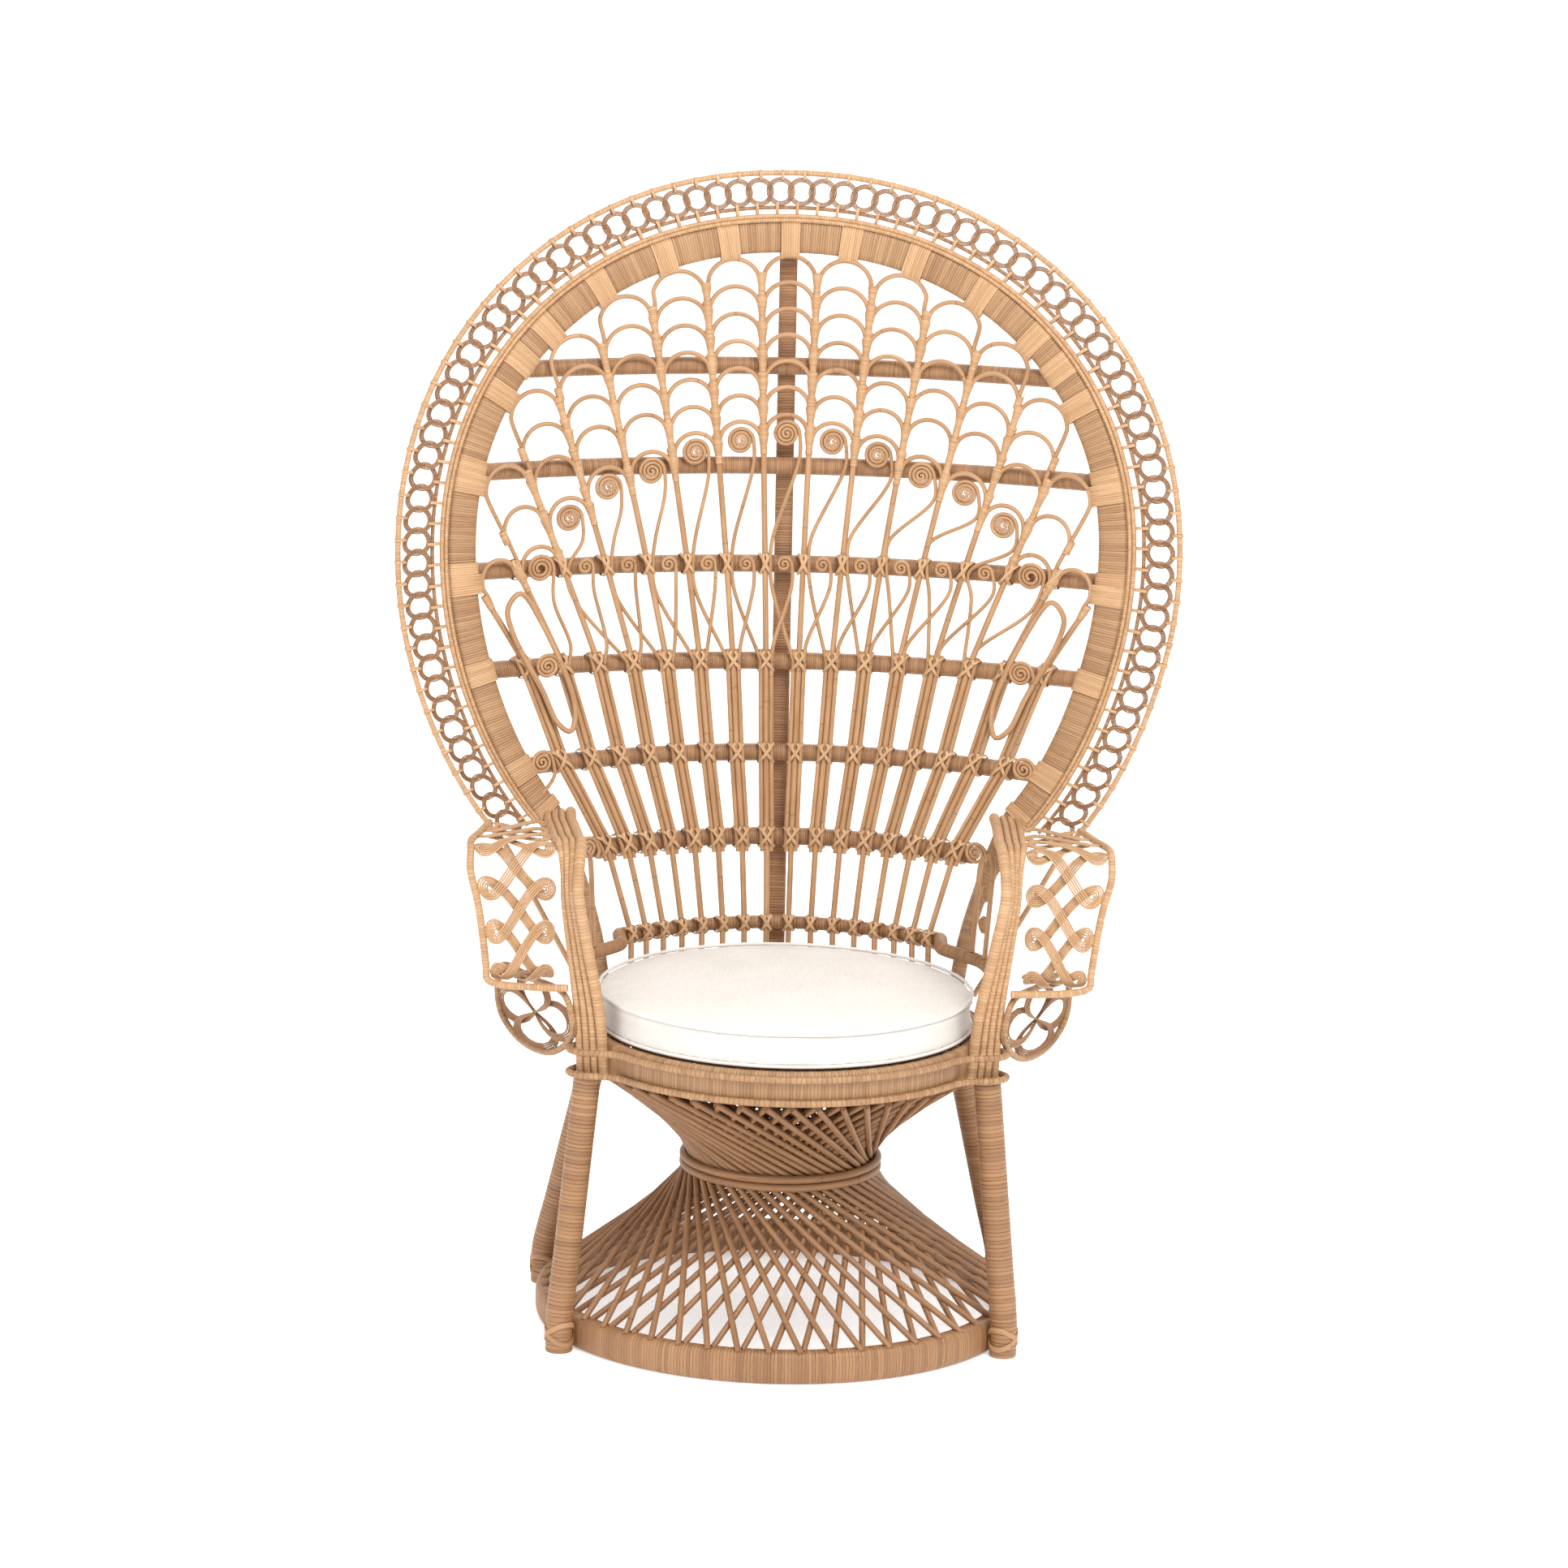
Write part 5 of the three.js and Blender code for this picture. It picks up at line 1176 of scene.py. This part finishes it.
for number in numbers:
    side = "left" if number < 0 else "right"
    name = f"fan_{side}_{int(abs(number) + 0.5)}"
    canes = list(columns[number][0])
    top = stake_top(number)
    feet = feet_on(number)
    wound_from = min(feet) - FOOT_WINDING
    bare_top = min(wound_from + 4, top)
    heights = np.arange(SEAT_TOP + 1, bare_top, 18).tolist() + [bare_top]
    bare = on_back([(stake_x(number, z), z) for z in heights])
    canes.append((bent_cane(bare, BARE_RADIUS, step=16, sides=10), cane))
    heights = np.linspace(wound_from, top + 2, int((top + 2 - wound_from) / 3) + 2)
    swell = [max([0] + [foot_swell(z - foot) for foot in feet if foot < top + 3]) for z in heights]
    shares = np.linspace(0, 1, len(swell))
    width = lambda share, shares=shares, swell=swell: WOUND_RADIUS + np.interp(share, shares, swell)
    line = on_back([(stake_x(number, z), z) for z in heights], 0.4)
    canes.append((wrapped_pole(line, width, strip=2.9, sides=12, sink=0.3, smooth=False), peel_fair))
    for foot in feet_on(number, slice(1, None)):
        if foot > top + 3:
            collar = (foot + 4, foot - 4, foot - 13)
            flat = [(stake_x(number, z) - math.copysign(3, number), z) for z in collar]
            wound = wrapped_pole(on_back(flat, 0.6), COLLAR_RADIUS, strip=2.9, sides=12, sink=0.3)
            canes.append((wound, peel_fair))
    for offset in (-BUNDLE_SPACING, BUNDLE_SPACING):
        places = zip(bundle_heights, bundle_spread)
        flat = [(stake_x(number, z) + offset * share, z, -0.6) for z, share in places]
        canes.append((bent_cane(on_back(flat), BUNDLE_CANE, step=16, sides=8), cane))
    if abs(number) > STAKES_PER_SIDE - 1:
        for height, radius, turns in ((RAILS[1], SIDE_SCROLL - 1, 2.6), (RAILS[2], SIDE_SCROLL, 2.8)):
            centre_x = stake_x(number, height) + math.copysign(10 + radius, number)
            edge_x = centre_x + radius
            tail = [(centre_x - 0.2 * radius, height - 2.6 * radius), (edge_x, height - radius)]
            if height == RAILS[1]:
                tail = [(edge_x - 2, height - 0.8 * radius), (edge_x, height - 0.3 * radius)]
            canes.append((scroll((centre_x, height), radius, turns, tail, 1.0), cane))
    for height in RAILS:
        reach = rail_reach(height, BAND_EDGE) if height > RAILS[0] else math.inf
        if height < min(top, RAILS[4] + 1) and abs(stake_x(number, height)) < reach - 6:
            radius = RAIL_RADIUS if height > RAILS[0] else LOW_RAIL_RADIUS
            canes += crossing(number, height, radius)
    make_piece(f"{name}_canes", canes, [name])
crowns = [top_crown(order - 0.5, order + 0.5) for order in range(STAKES_PER_SIDE)]
print(f"{len(numbers)} stakes; the highest arches crown at", crowns)

# %% [markdown]
# ## Side loops
# Outside the scrolls, one long cane loop lies over the last two stakes on each side, with a
# scroll in its middle where it crosses the rail. It stands proud of the stakes by its own width.

# %% Side loops
LOOP_ALONG = (0, 0.3, 0.4, 0.42, 0.2, -0.25, -0.4, -0.4)
LOOP_RISE = (0, 0.06, 0.3, 0.72, 0.9, 1, 0.8, 0.18)
LOOP_LOW = 730
LOOP_HIGH = 912
LOOP_FORWARD = STAKE_RADIUS + 0.8 + 4
for side, name in ((-1, "left"), (1, "right")):
    flat = []
    for along, rise in zip(LOOP_ALONG, LOOP_RISE):
        height = LOOP_LOW + (LOOP_HIGH - LOOP_LOW) * rise
        flat.append((side * stake_x(STAKES_PER_SIDE - 1 + along, height), height))
    if side < 0:
        flat.reverse()
    loop = bent_cane(on_back(flat, LOOP_FORWARD), 3.6, step=5, sides=10, closed=True)
    height = RAILS[3]
    centre = (side * stake_x(STAKES_PER_SIDE - 1, height), height)
    tail = [(centre[0] + 16, height - 9), (centre[0] + SIDE_SCROLL + 1, height - 4)]
    canes = [(loop, cane), (scroll(centre, SIDE_SCROLL + 1.5, 3.1, tail, LOOP_FORWARD), cane)]
    make_piece(f"side_loop_{name}_cane", canes, [f"side_loop_{name}"])

# %% [markdown]
# ## Arms
# Four wrapped rods rise together at each front corner, bend back over the knee and run to the
# shoulder of the hoop: one thick rod inside, where the sitter's arm lies, and three thin ones.
# A strip of lace follows the same bend on the outside. It is two ribbons of five thin canes,
# each swinging from edge to edge and looping back on itself, and they pass over and under
# each other by turns. The loops reach out to the rim and in to the frame. Under each rim hangs
# a wing of four petals, and a hairpin cane with two scrolls fills the side below the arm.

# %% Arm frame and rim
SHOULDER_HEIGHT = 634
SHOULDER_BACK = 150
SHOULDER_SPREAD = 12
KNEE_FORWARD = 104
THICK_ROD = 7.2
THIN_ROD = 4.7
rods = [(-14.5, THICK_ROD), (-2.9, THIN_ROD), (6.3, THIN_ROD), (15.5, THIN_ROD)]
ARM_WRAP = dict(strip=4.6, sides=12, sink=0.2)
frame_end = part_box("arm_frame_right")[1][1] / MM - SEAT_BACK


def arm_share(y):
    """How far along the arm a place is, from the knee to the shoulder."""
    return min(max((y + KNEE_FORWARD) / (SHOULDER_BACK + KNEE_FORWARD), 0), 1)


def arm_height(y):
    """The height of the arm's top line."""
    return ARM_TOP + (SHOULDER_HEIGHT - ARM_TOP) * arm_share(y)


def arm_spread(y):
    """How far out the middle of the four rods runs."""
    return FRONT_SPREAD + FRONT_FLARE + SHOULDER_SPREAD * arm_share(y)


arm_line = []
for height in (LEG_TOP + 1, 440, 520, KNEE_START - 20):
    y, x = front_line(height)
    arm_line.append((x, y, height))
for angle in np.radians((0, 22.5, 45, 67.5, 90)):
    y = KNEE_RADIUS * (1 - math.cos(angle)) - KNEE_FORWARD
    arm_line.append((arm_spread(y), y, KNEE_START + KNEE_RADIUS * math.sin(angle)))
for y in np.linspace(KNEE_RADIUS - KNEE_FORWARD, frame_end, 6)[1:]:
    arm_line.append((arm_spread(y), y, arm_height(y)))
arm_line = np.array(arm_line)


def beside(offset):
    """One rod's line: the bundle turns edge-on as it rises, and lies flat again over the arm."""
    rise = np.clip((arm_line[:, 2] - SEAT_TOP) / 200, 0, 1) ** 0.6
    flat = np.clip((arm_line[:, 1] + KNEE_FORWARD) / 60, 0, 1)
    angle = np.radians(54 * rise * (1 - flat))
    return arm_line + offset * np.stack([np.cos(angle), np.sin(angle), 0 * angle], axis=1)


rim_points = [
    (384, 116, arm_height(116)),
    (396, 32, arm_height(32)),
    (408, -52, arm_height(-52)),
    (408, -74.6, ARM_TOP - 9.4),
    (408, -84, ARM_TOP - 32),
    (397, -84, 572),
    (386, -84, 492),
]
lace_end = [(384, -76, 479), (383, -50, 474), (382, -10, 474)]
rim_curve = smooth_line(rim_points + lace_end, fine=24)
rim_total = lengths_along(rim_curve)[-1]


def mirrored(points, side):
    """The same places on the other side of the chair."""
    points = np.array(points, float)
    points[:, 0] *= side
    if points.shape[1] >= 6:
        points[:, 3] *= side
    return points


# %% [markdown]
# ## Arm lace
# The lace is laid out flat, as a length along the rim and a share of the width between frame and
# rim. A ribbon swings across by a cosine, and slides back and forth by a sine of twice the turn,
# which closes its loops. The second ribbon is half a turn behind, so the two cross.

# %% Arm lace
LACE_WIDTH = 100
LACE_CANE = 1.45
LACE_SPACING = 2.9
LACE_CANES = 5
LACE_LOOPS = 3.5
LACE_SWING = 22.0
LACE_TILT = 3.2


def lace_place(along, out, lift):
    """A place on the strip: a length along the rim, a share of the width out, and a height."""
    edge = at_lengths(rim_curve, [along - 1, along, along + 1])
    tangent = unit(edge[2] - edge[0])
    face = unit(np.cross((1, 0, 0), tangent))
    inner = arm_spread(edge[1][1]) + 20
    spot = edge[1].copy()
    spot[0] = inner + (edge[1][0] - 6 - inner) * out
    return (*(spot + face * lift), *face)


def lace_ribbon(phase):
    """The canes of one ribbon."""
    low, high = 14, rim_total - 16
    turns = np.linspace(0, LACE_LOOPS * 2 * math.pi, int(LACE_LOOPS * 28) + 1)
    flat = []
    for turn in turns:
        out = 0.5 + 0.45 * math.cos(turn + phase)
        along = low + (high - low) * turn / turns[-1] - LACE_SWING * math.sin(2 * turn)
        flat.append((out, min(max(along, 6), rim_total - 8), math.sin(turn + phase)))
    flat = np.array(flat)
    slope = unit(np.gradient(flat[:, :2] * (LACE_WIDTH, 1), axis=0))
    ribbon = []
    for order in range(LACE_CANES):
        offset = (order - (LACE_CANES - 1) / 2) * LACE_SPACING
        shifted = flat[:, :2] + np.stack([-slope[:, 1] / LACE_WIDTH, slope[:, 0]], axis=1) * offset
        places = [lace_place(a, o, LACE_TILT * lift) for (o, a), lift in zip(shifted, flat[:, 2])]
        ribbon.append(bent_cane(places, LACE_CANE, step=4, sides=6))
    return ribbon


# %% Wings below the arms
WING_TOP = 466
WING_BOTTOM = 378
WING_OUT = (0.06, 0, 0.04, 0.3, 0.7, 0.95, 1, 0.94, 0.5)
WING_RISE = (0.95, 0.65, 0.36, 0, 0, 0.3, 0.65, 1, 1)
WING_ROD = 4.4
PETALS = 4
PETAL_STEPS = 18
PETAL_REACH = 0.42
PETAL_CANE = 1.3
PETAL_LIFT = 3.4
HAIRPIN_CANE = 3.5
HAIRPIN_TOP = 612
HAIRPIN_HALF = 18
HAIRPIN_MIDDLE = 64
HAIRPIN_SCROLL = 14.3


def wing_place(out, height):
    """A place on the wing, from its width and height as shares."""
    z = WING_BOTTOM + (WING_TOP - WING_BOTTOM) * height
    y, x = front_line(z)
    near = x + 22
    return np.array([near + (370 - near) * out, y + (40 - y) * out, z])


wing_across = unit(wing_place(1, 0) - wing_place(0, 0))
wing_face = np.cross(wing_across, (0, 0, 1))


def arm_pieces(side, name):
    """All that belongs to one arm."""
    canes = []
    for offset, radius in rods:
        line = mirrored(beside(offset), side)
        canes.append((wrapped_pole(line, radius, **ARM_WRAP), peel_fair))
    make_piece(f"arm_frame_{name}_wrapped", canes, [f"arm_frame_{name}"])

    y, x = front_line(492)
    end = [(385, -84, 478), (376, -84, 472), (x + 48, y + 4, 472), (x + 19, y, 473)]
    line = mirrored(np.vstack([rim_points, end]), side)
    outer_rod = [(wrapped_pole(line, 4.9, **ARM_WRAP), peel_fair)]
    make_piece(f"arm_rim_{name}_wrapped", outer_rod, [f"arm_rim_{name}"])

    lace = lace_ribbon(0) + lace_ribbon(math.pi)
    canes = [((mesh, bent * (side, 1, 1), straight), cane_fair) for mesh, bent, straight in lace]
    make_piece(f"arm_lace_{name}_canes", canes, [f"arm_lace_{name}"])

    canes = []
    outline = [(*wing_place(out, rise), *wing_face) for out, rise in zip(WING_OUT, WING_RISE)]
    canes.append((wrapped_pole(mirrored(outline, side), WING_ROD, closed=True, **ARM_WRAP), peel))
    for offset in (-0.1, -0.05, 0, 0.05, 0.1):
        petals = []
        for step in range(PETALS * PETAL_STEPS + 1):
            turn = step / PETAL_STEPS * 2 * math.pi
            round_it = step / (PETALS * PETAL_STEPS) * 2 * math.pi
            reach = 0.5 + (PETAL_REACH + offset) * math.cos(turn)
            swing = round_it + (PETAL_REACH + offset) * math.sin(turn)
            out = 0.5 + 0.52 * reach * math.cos(swing)
            spot = wing_place(out, 0.5 + 0.56 * reach * math.sin(swing))
            petals.append((*(spot + wing_face * PETAL_LIFT * math.sin(turn)), *wing_face))
        petals = bent_cane(mirrored(petals, side), PETAL_CANE, step=4, sides=6, smooth=False)
        canes.append((petals, cane_brown))
    make_piece(f"arm_wing_{name}_canes", canes, [f"arm_wing_{name}"])
    side_canes(side, name)


def side_canes(side, name):
    """The hairpin between the rear post and the front rods, with its two scrolls."""
    foot = RAILS[0] + LOW_RAIL_RADIUS + 0.3
    rail_x = lambda y: float(np.interp(-y, -low_side[:, 1], low_side[:, 0]))

    def place(along, z):
        """A place beside the hairpin's middle, on a plane that leans out by 8 mm."""
        y = HAIRPIN_MIDDLE + along
        return rail_x(y) + 8 * (z - foot) / (HAIRPIN_TOP - foot), y, z, 1, 0, 0

    half = HAIRPIN_HALF
    shoulder = HAIRPIN_TOP - half
    line = [place(half, foot), place(half, (foot + shoulder) / 2)]
    line += [place(half * math.cos(a), shoulder + half * math.sin(a)) for a in np.linspace(0, math.pi, 9)]
    line += [place(-half, (foot + shoulder) / 2), place(-half, foot)]
    canes = [(bent_cane(mirrored(line, side), HAIRPIN_CANE, step=6, sides=8), cane)]
    for share in (0.3, 0.62):
        middle_z = foot + (HAIRPIN_TOP - foot) * share
        winding = spiral(HAIRPIN_SCROLL, int(3.1 * 16), math.pi, -1)
        line = [place(along, middle_z + up) for along, up in winding]
        canes.append((bent_cane(mirrored(line, side), SCROLL_RADIUS, step=3.2, sides=8), cane))
    make_piece(f"side_cane_{name}_canes", canes, [f"side_cane_{name}"])


for side, name in ((-1, "left"), (1, "right")):
    arm_pieces(side, name)

# %% [markdown]
# ## Ties on the band
# Every column's highest arch touches the band, and a second winding, laid over the first, binds
# the two together. The rails' ends are bound in the same way.

# %% Ties on the band
TIE_LENGTH = 12
band_angles = np.linspace(-HOOP_END, HOOP_END, 1201)
band_edge = np.array([hoop_place(angle, BAND_EDGE) for angle in band_angles])
edge_length = lengths_along(np.hstack([band_edge, np.zeros((len(band_edge), 1))]))


def band_tie(flat, half_length, past_edge):
    """A second winding over the band where it is nearest to some places."""
    flat = np.asarray(flat, float)
    apart = np.linalg.norm(band_edge[:, None] - flat[None], axis=2).min(axis=1)
    middle = edge_length[np.argmin(apart)] + draw.normal(0, 1.0)
    spots = np.interp(middle + np.linspace(-half_length, half_length, 7), edge_length, band_angles)
    low = BAND_INSET - half_width_at(0.5) - 0.6
    high = BAND_EDGE + past_edge
    line = on_back([hoop_place(angle, (low + high) / 2) for angle in spots], -3.4)
    shape = dict(strip=3.0, sides=20, depth=9.4, squareness=0.6, sink=0.4, smooth=False)
    return wrapped_pole(line, (high - low) / 2, **shape)


for middle in range(1 - STAKES_PER_SIDE, STAKES_PER_SIDE):
    arch = arch_line(middle - 0.5, middle + 0.5, top_crown(middle - 0.5, middle + 0.5))
    hoop.append((band_tie(arch, TIE_LENGTH + (middle != 0), 7.5), peel_fair))
for height in RAILS[1:]:
    for side in (-1, 1):
        hoop.append((band_tie([(side * rail_reach(height, BAND_EDGE), height)], 15, 2.5), peel_fair))
make_piece("back_hoop_wrapped", hoop, ["back_hoop"])

# %% [markdown]
# ## The seat panel
# Under the cushion the seat is plain-woven from flat strips of peel: each passes over one
# strip and under the next. It shows when the cushion is lifted, and from below.

# %% Woven seat panel
PANEL_RADIUS = SEAT_RADIUS - APRON_THICK - 0.6
WEAVE = 13.0
strips = []
count = int(PANEL_RADIUS / WEAVE)
for direction in (0, 1):
    for row in range(-count, count + 1):
        away = row * WEAVE
        reach = math.sqrt(PANEL_RADIUS**2 - away**2) - 1
        points = []
        for step in np.linspace(-reach, reach, max(5, int(reach / WEAVE) * 4 + 1)):
            lift = 1.1 * math.cos(step / WEAVE * math.pi) * (-1) ** (row + direction)
            spot = (step, away) if direction == 0 else (away, step)
            points.append((*spot, SEAT_TOP - 2.8 + lift, 0, 0, 1))
        strip = bent_cane(points, 5.6, step=5, sides=6, depth=0.9, squareness=0.7, smooth=False)
        strips.append((strip, peel_brown))
make_piece("seat_panel_woven", strips, ["seat_panel"])

# %% [markdown]
# ## The cushion
# The cushion is a drum of off-white cotton: a round top and bottom joined by a boxing strip,
# with a corded seam along both edges. Stuffed cloth can't be drawn as a block, so the case is
# sewn slightly small and inflated with Blender's cloth, while its two seams and its underside
# are held. The cords go on afterwards, because the remesh that cloth needs would swallow them.

# %% Material: cotton
def cotton(name, fair, dark, thread):
    """Plain-woven cotton. The thread is drawn coarser than real, or it wouldn't show."""
    material, tree, shader = new_material(name)
    places = node(tree, "ShaderNodeTexCoord").outputs["Object"]
    waves = {"Vector": places, "Scale": 1 / thread / 6.283, "Distortion": 0.6, "Detail": 1.0}
    across = node(tree, "ShaderNodeTexWave", waves, bands_direction="X")
    along = node(tree, "ShaderNodeTexWave", waves, bands_direction="Y")
    weave = times(tree, across.outputs["Fac"], along.outputs["Fac"])
    slub = grain(tree, places, (420, 60, 420), 3)
    soft = grain(tree, places, (9, 9, 9), 3)
    tone = ranged(tree, add(tree, times(tree, slub, 0.5), times(tree, soft, 0.5)), 0.35, 0.65)
    colour = colour_mix(tree, tone, linear(dark), linear(fair))
    shader.inputs["Roughness"].default_value = 0.9
    shader.inputs["Sheen Weight"].default_value = 0.15
    shader.inputs["Sheen Roughness"].default_value = 0.5
    cover(tree, shader, colour, add(tree, times(tree, weave, 0.5), times(tree, slub, 0.5)), 0.25, 0.4 * MM)
    return material


cloth = cotton("plain_woven_cotton", "#d9d5cf", "#cdc8c0", 1.1 * MM)

# %% Cushion case
CUSHION_RADIUS = 244
CUSHION_FLOOR = SEAT_TOP + 0.9
CUSHION_SIDE = 46
CUSHION_CROWN = 6
SEAM_REACH = CUSHION_RADIUS - 3
SEAM_LOW = CUSHION_FLOOR + 3
SEAM_HIGH = CUSHION_FLOOR + CUSHION_SIDE - 3


def cushion_case():
    """The case before it is filled: a circle spun up into a drum with a slightly crowned top."""
    case = bmesh.new()
    outline = [(0, CUSHION_FLOOR + 0.5), (150, CUSHION_FLOOR + 0.5), (225, CUSHION_FLOOR + 1)]
    outline += [(SEAM_REACH, SEAM_LOW), (CUSHION_RADIUS - 6, (SEAM_LOW + SEAM_HIGH) / 2)]
    outline += [(SEAM_REACH, SEAM_HIGH)]
    outline += [(225, SEAM_HIGH + 2), (160, SEAM_HIGH + CUSHION_CROWN * 0.7)]
    outline += [(0, SEAM_HIGH + CUSHION_CROWN)]
    points = [case.verts.new(to_metres([(radius, 0, height)])[0]) for radius, height in outline]
    edges = [case.edges.new(pair) for pair in zip(points, points[1:])]
    centre = to_metres([(0, 0, 0)])[0]
    spun = dict(cent=centre, axis=(0, 0, 1), angle=2 * math.pi, steps=96, use_merge=True)
    bmesh.ops.spin(case, geom=points + edges, **spun)
    bmesh.ops.remove_doubles(case, verts=case.verts[:], dist=1e-5)
    bmesh.ops.recalc_face_normals(case, faces=case.faces[:])
    mesh = bpy.data.meshes.new("cushion_case")
    case.to_mesh(mesh)
    case.free()
    return mesh


cushion = bpy.data.objects.new("cushion_filled", cushion_case())
bpy.context.scene.collection.objects.link(cushion)


def apply_modifiers(piece):
    """Turns what a piece's modifiers show into its mesh."""
    shown = piece.evaluated_get(bpy.context.evaluated_depsgraph_get())
    mesh = bpy.data.meshes.new_from_object(shown)
    piece.modifiers.clear()
    piece.data = mesh


def cloth_places(piece):
    """A mesh's points in millimetres from the seat's middle."""
    flat = np.empty(len(piece.data.vertices) * 3)
    piece.data.vertices.foreach_get("co", flat)
    return flat.reshape(-1, 3) / MM - (0, SEAT_BACK, 0)


remesh = cushion.modifiers.new("remesh", "REMESH")
remesh.mode = "VOXEL"
remesh.voxel_size = 5 * MM
apply_modifiers(cushion)
before = cloth_places(cushion)
MOST_SWELL = 8.0
SEAM_HOLD = 4.5
FILL_STEPS = 20
RIPPLES = 9
RIPPLE_HEIGHT = 1.6

held = cushion.vertex_groups.new(name="seams")
reach = np.hypot(before[:, 0], before[:, 1])
near_low = np.hypot(reach - SEAM_REACH, before[:, 2] - SEAM_LOW) < SEAM_HOLD
near_high = np.hypot(reach - SEAM_REACH, before[:, 2] - SEAM_HIGH) < SEAM_HOLD
resting = (before[:, 2] < CUSHION_FLOOR + 2) & (reach < CUSHION_RADIUS - 20)
held.add(np.nonzero(near_low | near_high | resting)[0].tolist(), 1.0, "REPLACE")
fill = cushion.modifiers.new("fill", "CLOTH")
stiff = dict(tension_stiffness=25, compression_stiffness=25, bending_stiffness=2.0)
filling = dict(use_pressure=True, uniform_pressure_force=4.0, vertex_group_mass="seams")
for setting, value in (stiff | filling).items():
    setattr(fill.settings, setting, value)
fill.settings.effector_weights.gravity = 0.0
fill.point_cache.frame_start = 1
fill.point_cache.frame_end = FILL_STEPS
for step in range(1, FILL_STEPS + 1):
    bpy.context.scene.frame_set(step)
apply_modifiers(cushion)
bpy.context.scene.frame_set(1)
after = cloth_places(cushion)
moved = after - before
length = np.linalg.norm(moved, axis=1, keepdims=True)
after = before + moved * np.minimum(1, MOST_SWELL / np.maximum(length, 1e-9))
ripple = draw.normal(0, 1, (RIPPLES, 4))[:, :2]
angle = np.arctan2(after[:, 1], after[:, 0])
reach = np.hypot(after[:, 0], after[:, 1])
wave = sum(a * np.sin((5 + 3 * k) * angle + 6 * b) for k, (a, b) in enumerate(ripple)) / RIPPLES
near_edge = np.exp(-(((reach - CUSHION_RADIUS + 12) / 18) ** 2))
after[:, 2] += np.where(after[:, 2] > SEAM_HIGH, RIPPLE_HEIGHT * wave * near_edge, 0)
after[:, 2] = np.maximum(after[:, 2], CUSHION_FLOOR)
cushion.data.vertices.foreach_set("co", to_metres(after).astype(np.float32).ravel())
cushion.data.update()
finer = cushion.modifiers.new("finer", "SUBSURF")
finer.levels = finer.render_levels = 1
apply_modifiers(cushion)
cushion.data.polygons.foreach_set("use_smooth", np.ones(len(cushion.data.polygons), bool))
cushion.data.materials.clear()
cushion.data.materials.append(cloth)
print(f"the cushion swelled by up to {min(float(length.max()), MOST_SWELL):.1f} mm")

# %% Corded seams
CORD_RADIUS = 2.3


def seam_loop(height):
    """The line where the filled case lies at this height, all around."""
    near = np.abs(after[:, 2] - height) < 5
    loop = []
    for turn in np.linspace(-math.pi, math.pi, 97)[:-1]:
        aside = np.abs(np.angle(np.exp(1j * (angle[near] - turn))))
        loop.append(around(reach[near][aside < 0.06].max() + 0.3, turn, height))
    return loop


seams = []
for height in (SEAM_LOW, SEAM_HIGH + 1.0):
    seams.append((bent_cane(seam_loop(height), CORD_RADIUS, step=6, sides=10, closed=True), cloth))
make_piece("cushion_cords", seams, ["cushion"], "cushion")
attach(cushion, "cushion")
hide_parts("cushion")

# %% [markdown]
# ## Floor and light
# The chair stands on matt white studio paper that runs far back, so that it also fills the view
# behind. One broad soft light stands high in front, a little to the right, one fills from the
# left and one stands behind. The white world adds an even glow, and the floor glows a little
# itself, so the shadows stay faint, as in a studio.

# %% Floor and light
floor_mesh = bmesh.new()
bmesh.ops.create_circle(floor_mesh, cap_ends=True, segments=96, radius=60)
mesh = bpy.data.meshes.new("floor")
floor_mesh.to_mesh(mesh)
floor_mesh.free()
floor = bpy.data.objects.new("floor", mesh)
bpy.context.scene.collection.objects.link(floor)
paper, tree, shader = new_material("white_studio_floor")
shader.inputs["Base Color"].default_value = linear("#fbfbfb")
shader.inputs["Roughness"].default_value = 0.85
shader.inputs["Emission Color"].default_value = (1, 1, 1, 1)
shader.inputs["Emission Strength"].default_value = 0.4
floor.data.materials.append(paper)


def softbox(name, place, size, power, aim=(0, 0, 700)):
    """A square area light at a place in millimetres that looks at the chair."""
    lamp = bpy.data.lights.new(name, "AREA")
    lamp.shape = "SQUARE"
    lamp.size = size
    lamp.energy = power
    light = bpy.data.objects.new(name, lamp)
    bpy.context.scene.collection.objects.link(light)
    light.location = Vector(to_metres(place))
    light.rotation_euler = Vector(to_metres(aim) - to_metres(place)).to_track_quat("-Z", "Y").to_euler()


softbox("high_front", (1100, -2700, 4200), 2.2, 172)
softbox("left_fill", (-3000, -2600, 1600), 2.5, 30)
softbox("behind", (600, 3200, 3000), 3.0, 60)
world = bpy.data.worlds.new("studio")
world.use_nodes = True
world.node_tree.nodes["Background"].inputs["Color"].default_value = (1, 1, 1, 1)
world.node_tree.nodes["Background"].inputs["Strength"].default_value = 1.0
bpy.context.scene.world = world
bpy.context.scene.view_settings.view_transform = "Standard"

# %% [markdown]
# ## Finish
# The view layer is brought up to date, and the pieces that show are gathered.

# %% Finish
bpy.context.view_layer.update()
shown = [piece for piece in bpy.data.objects if piece.type == "MESH" and piece.visible_get()]
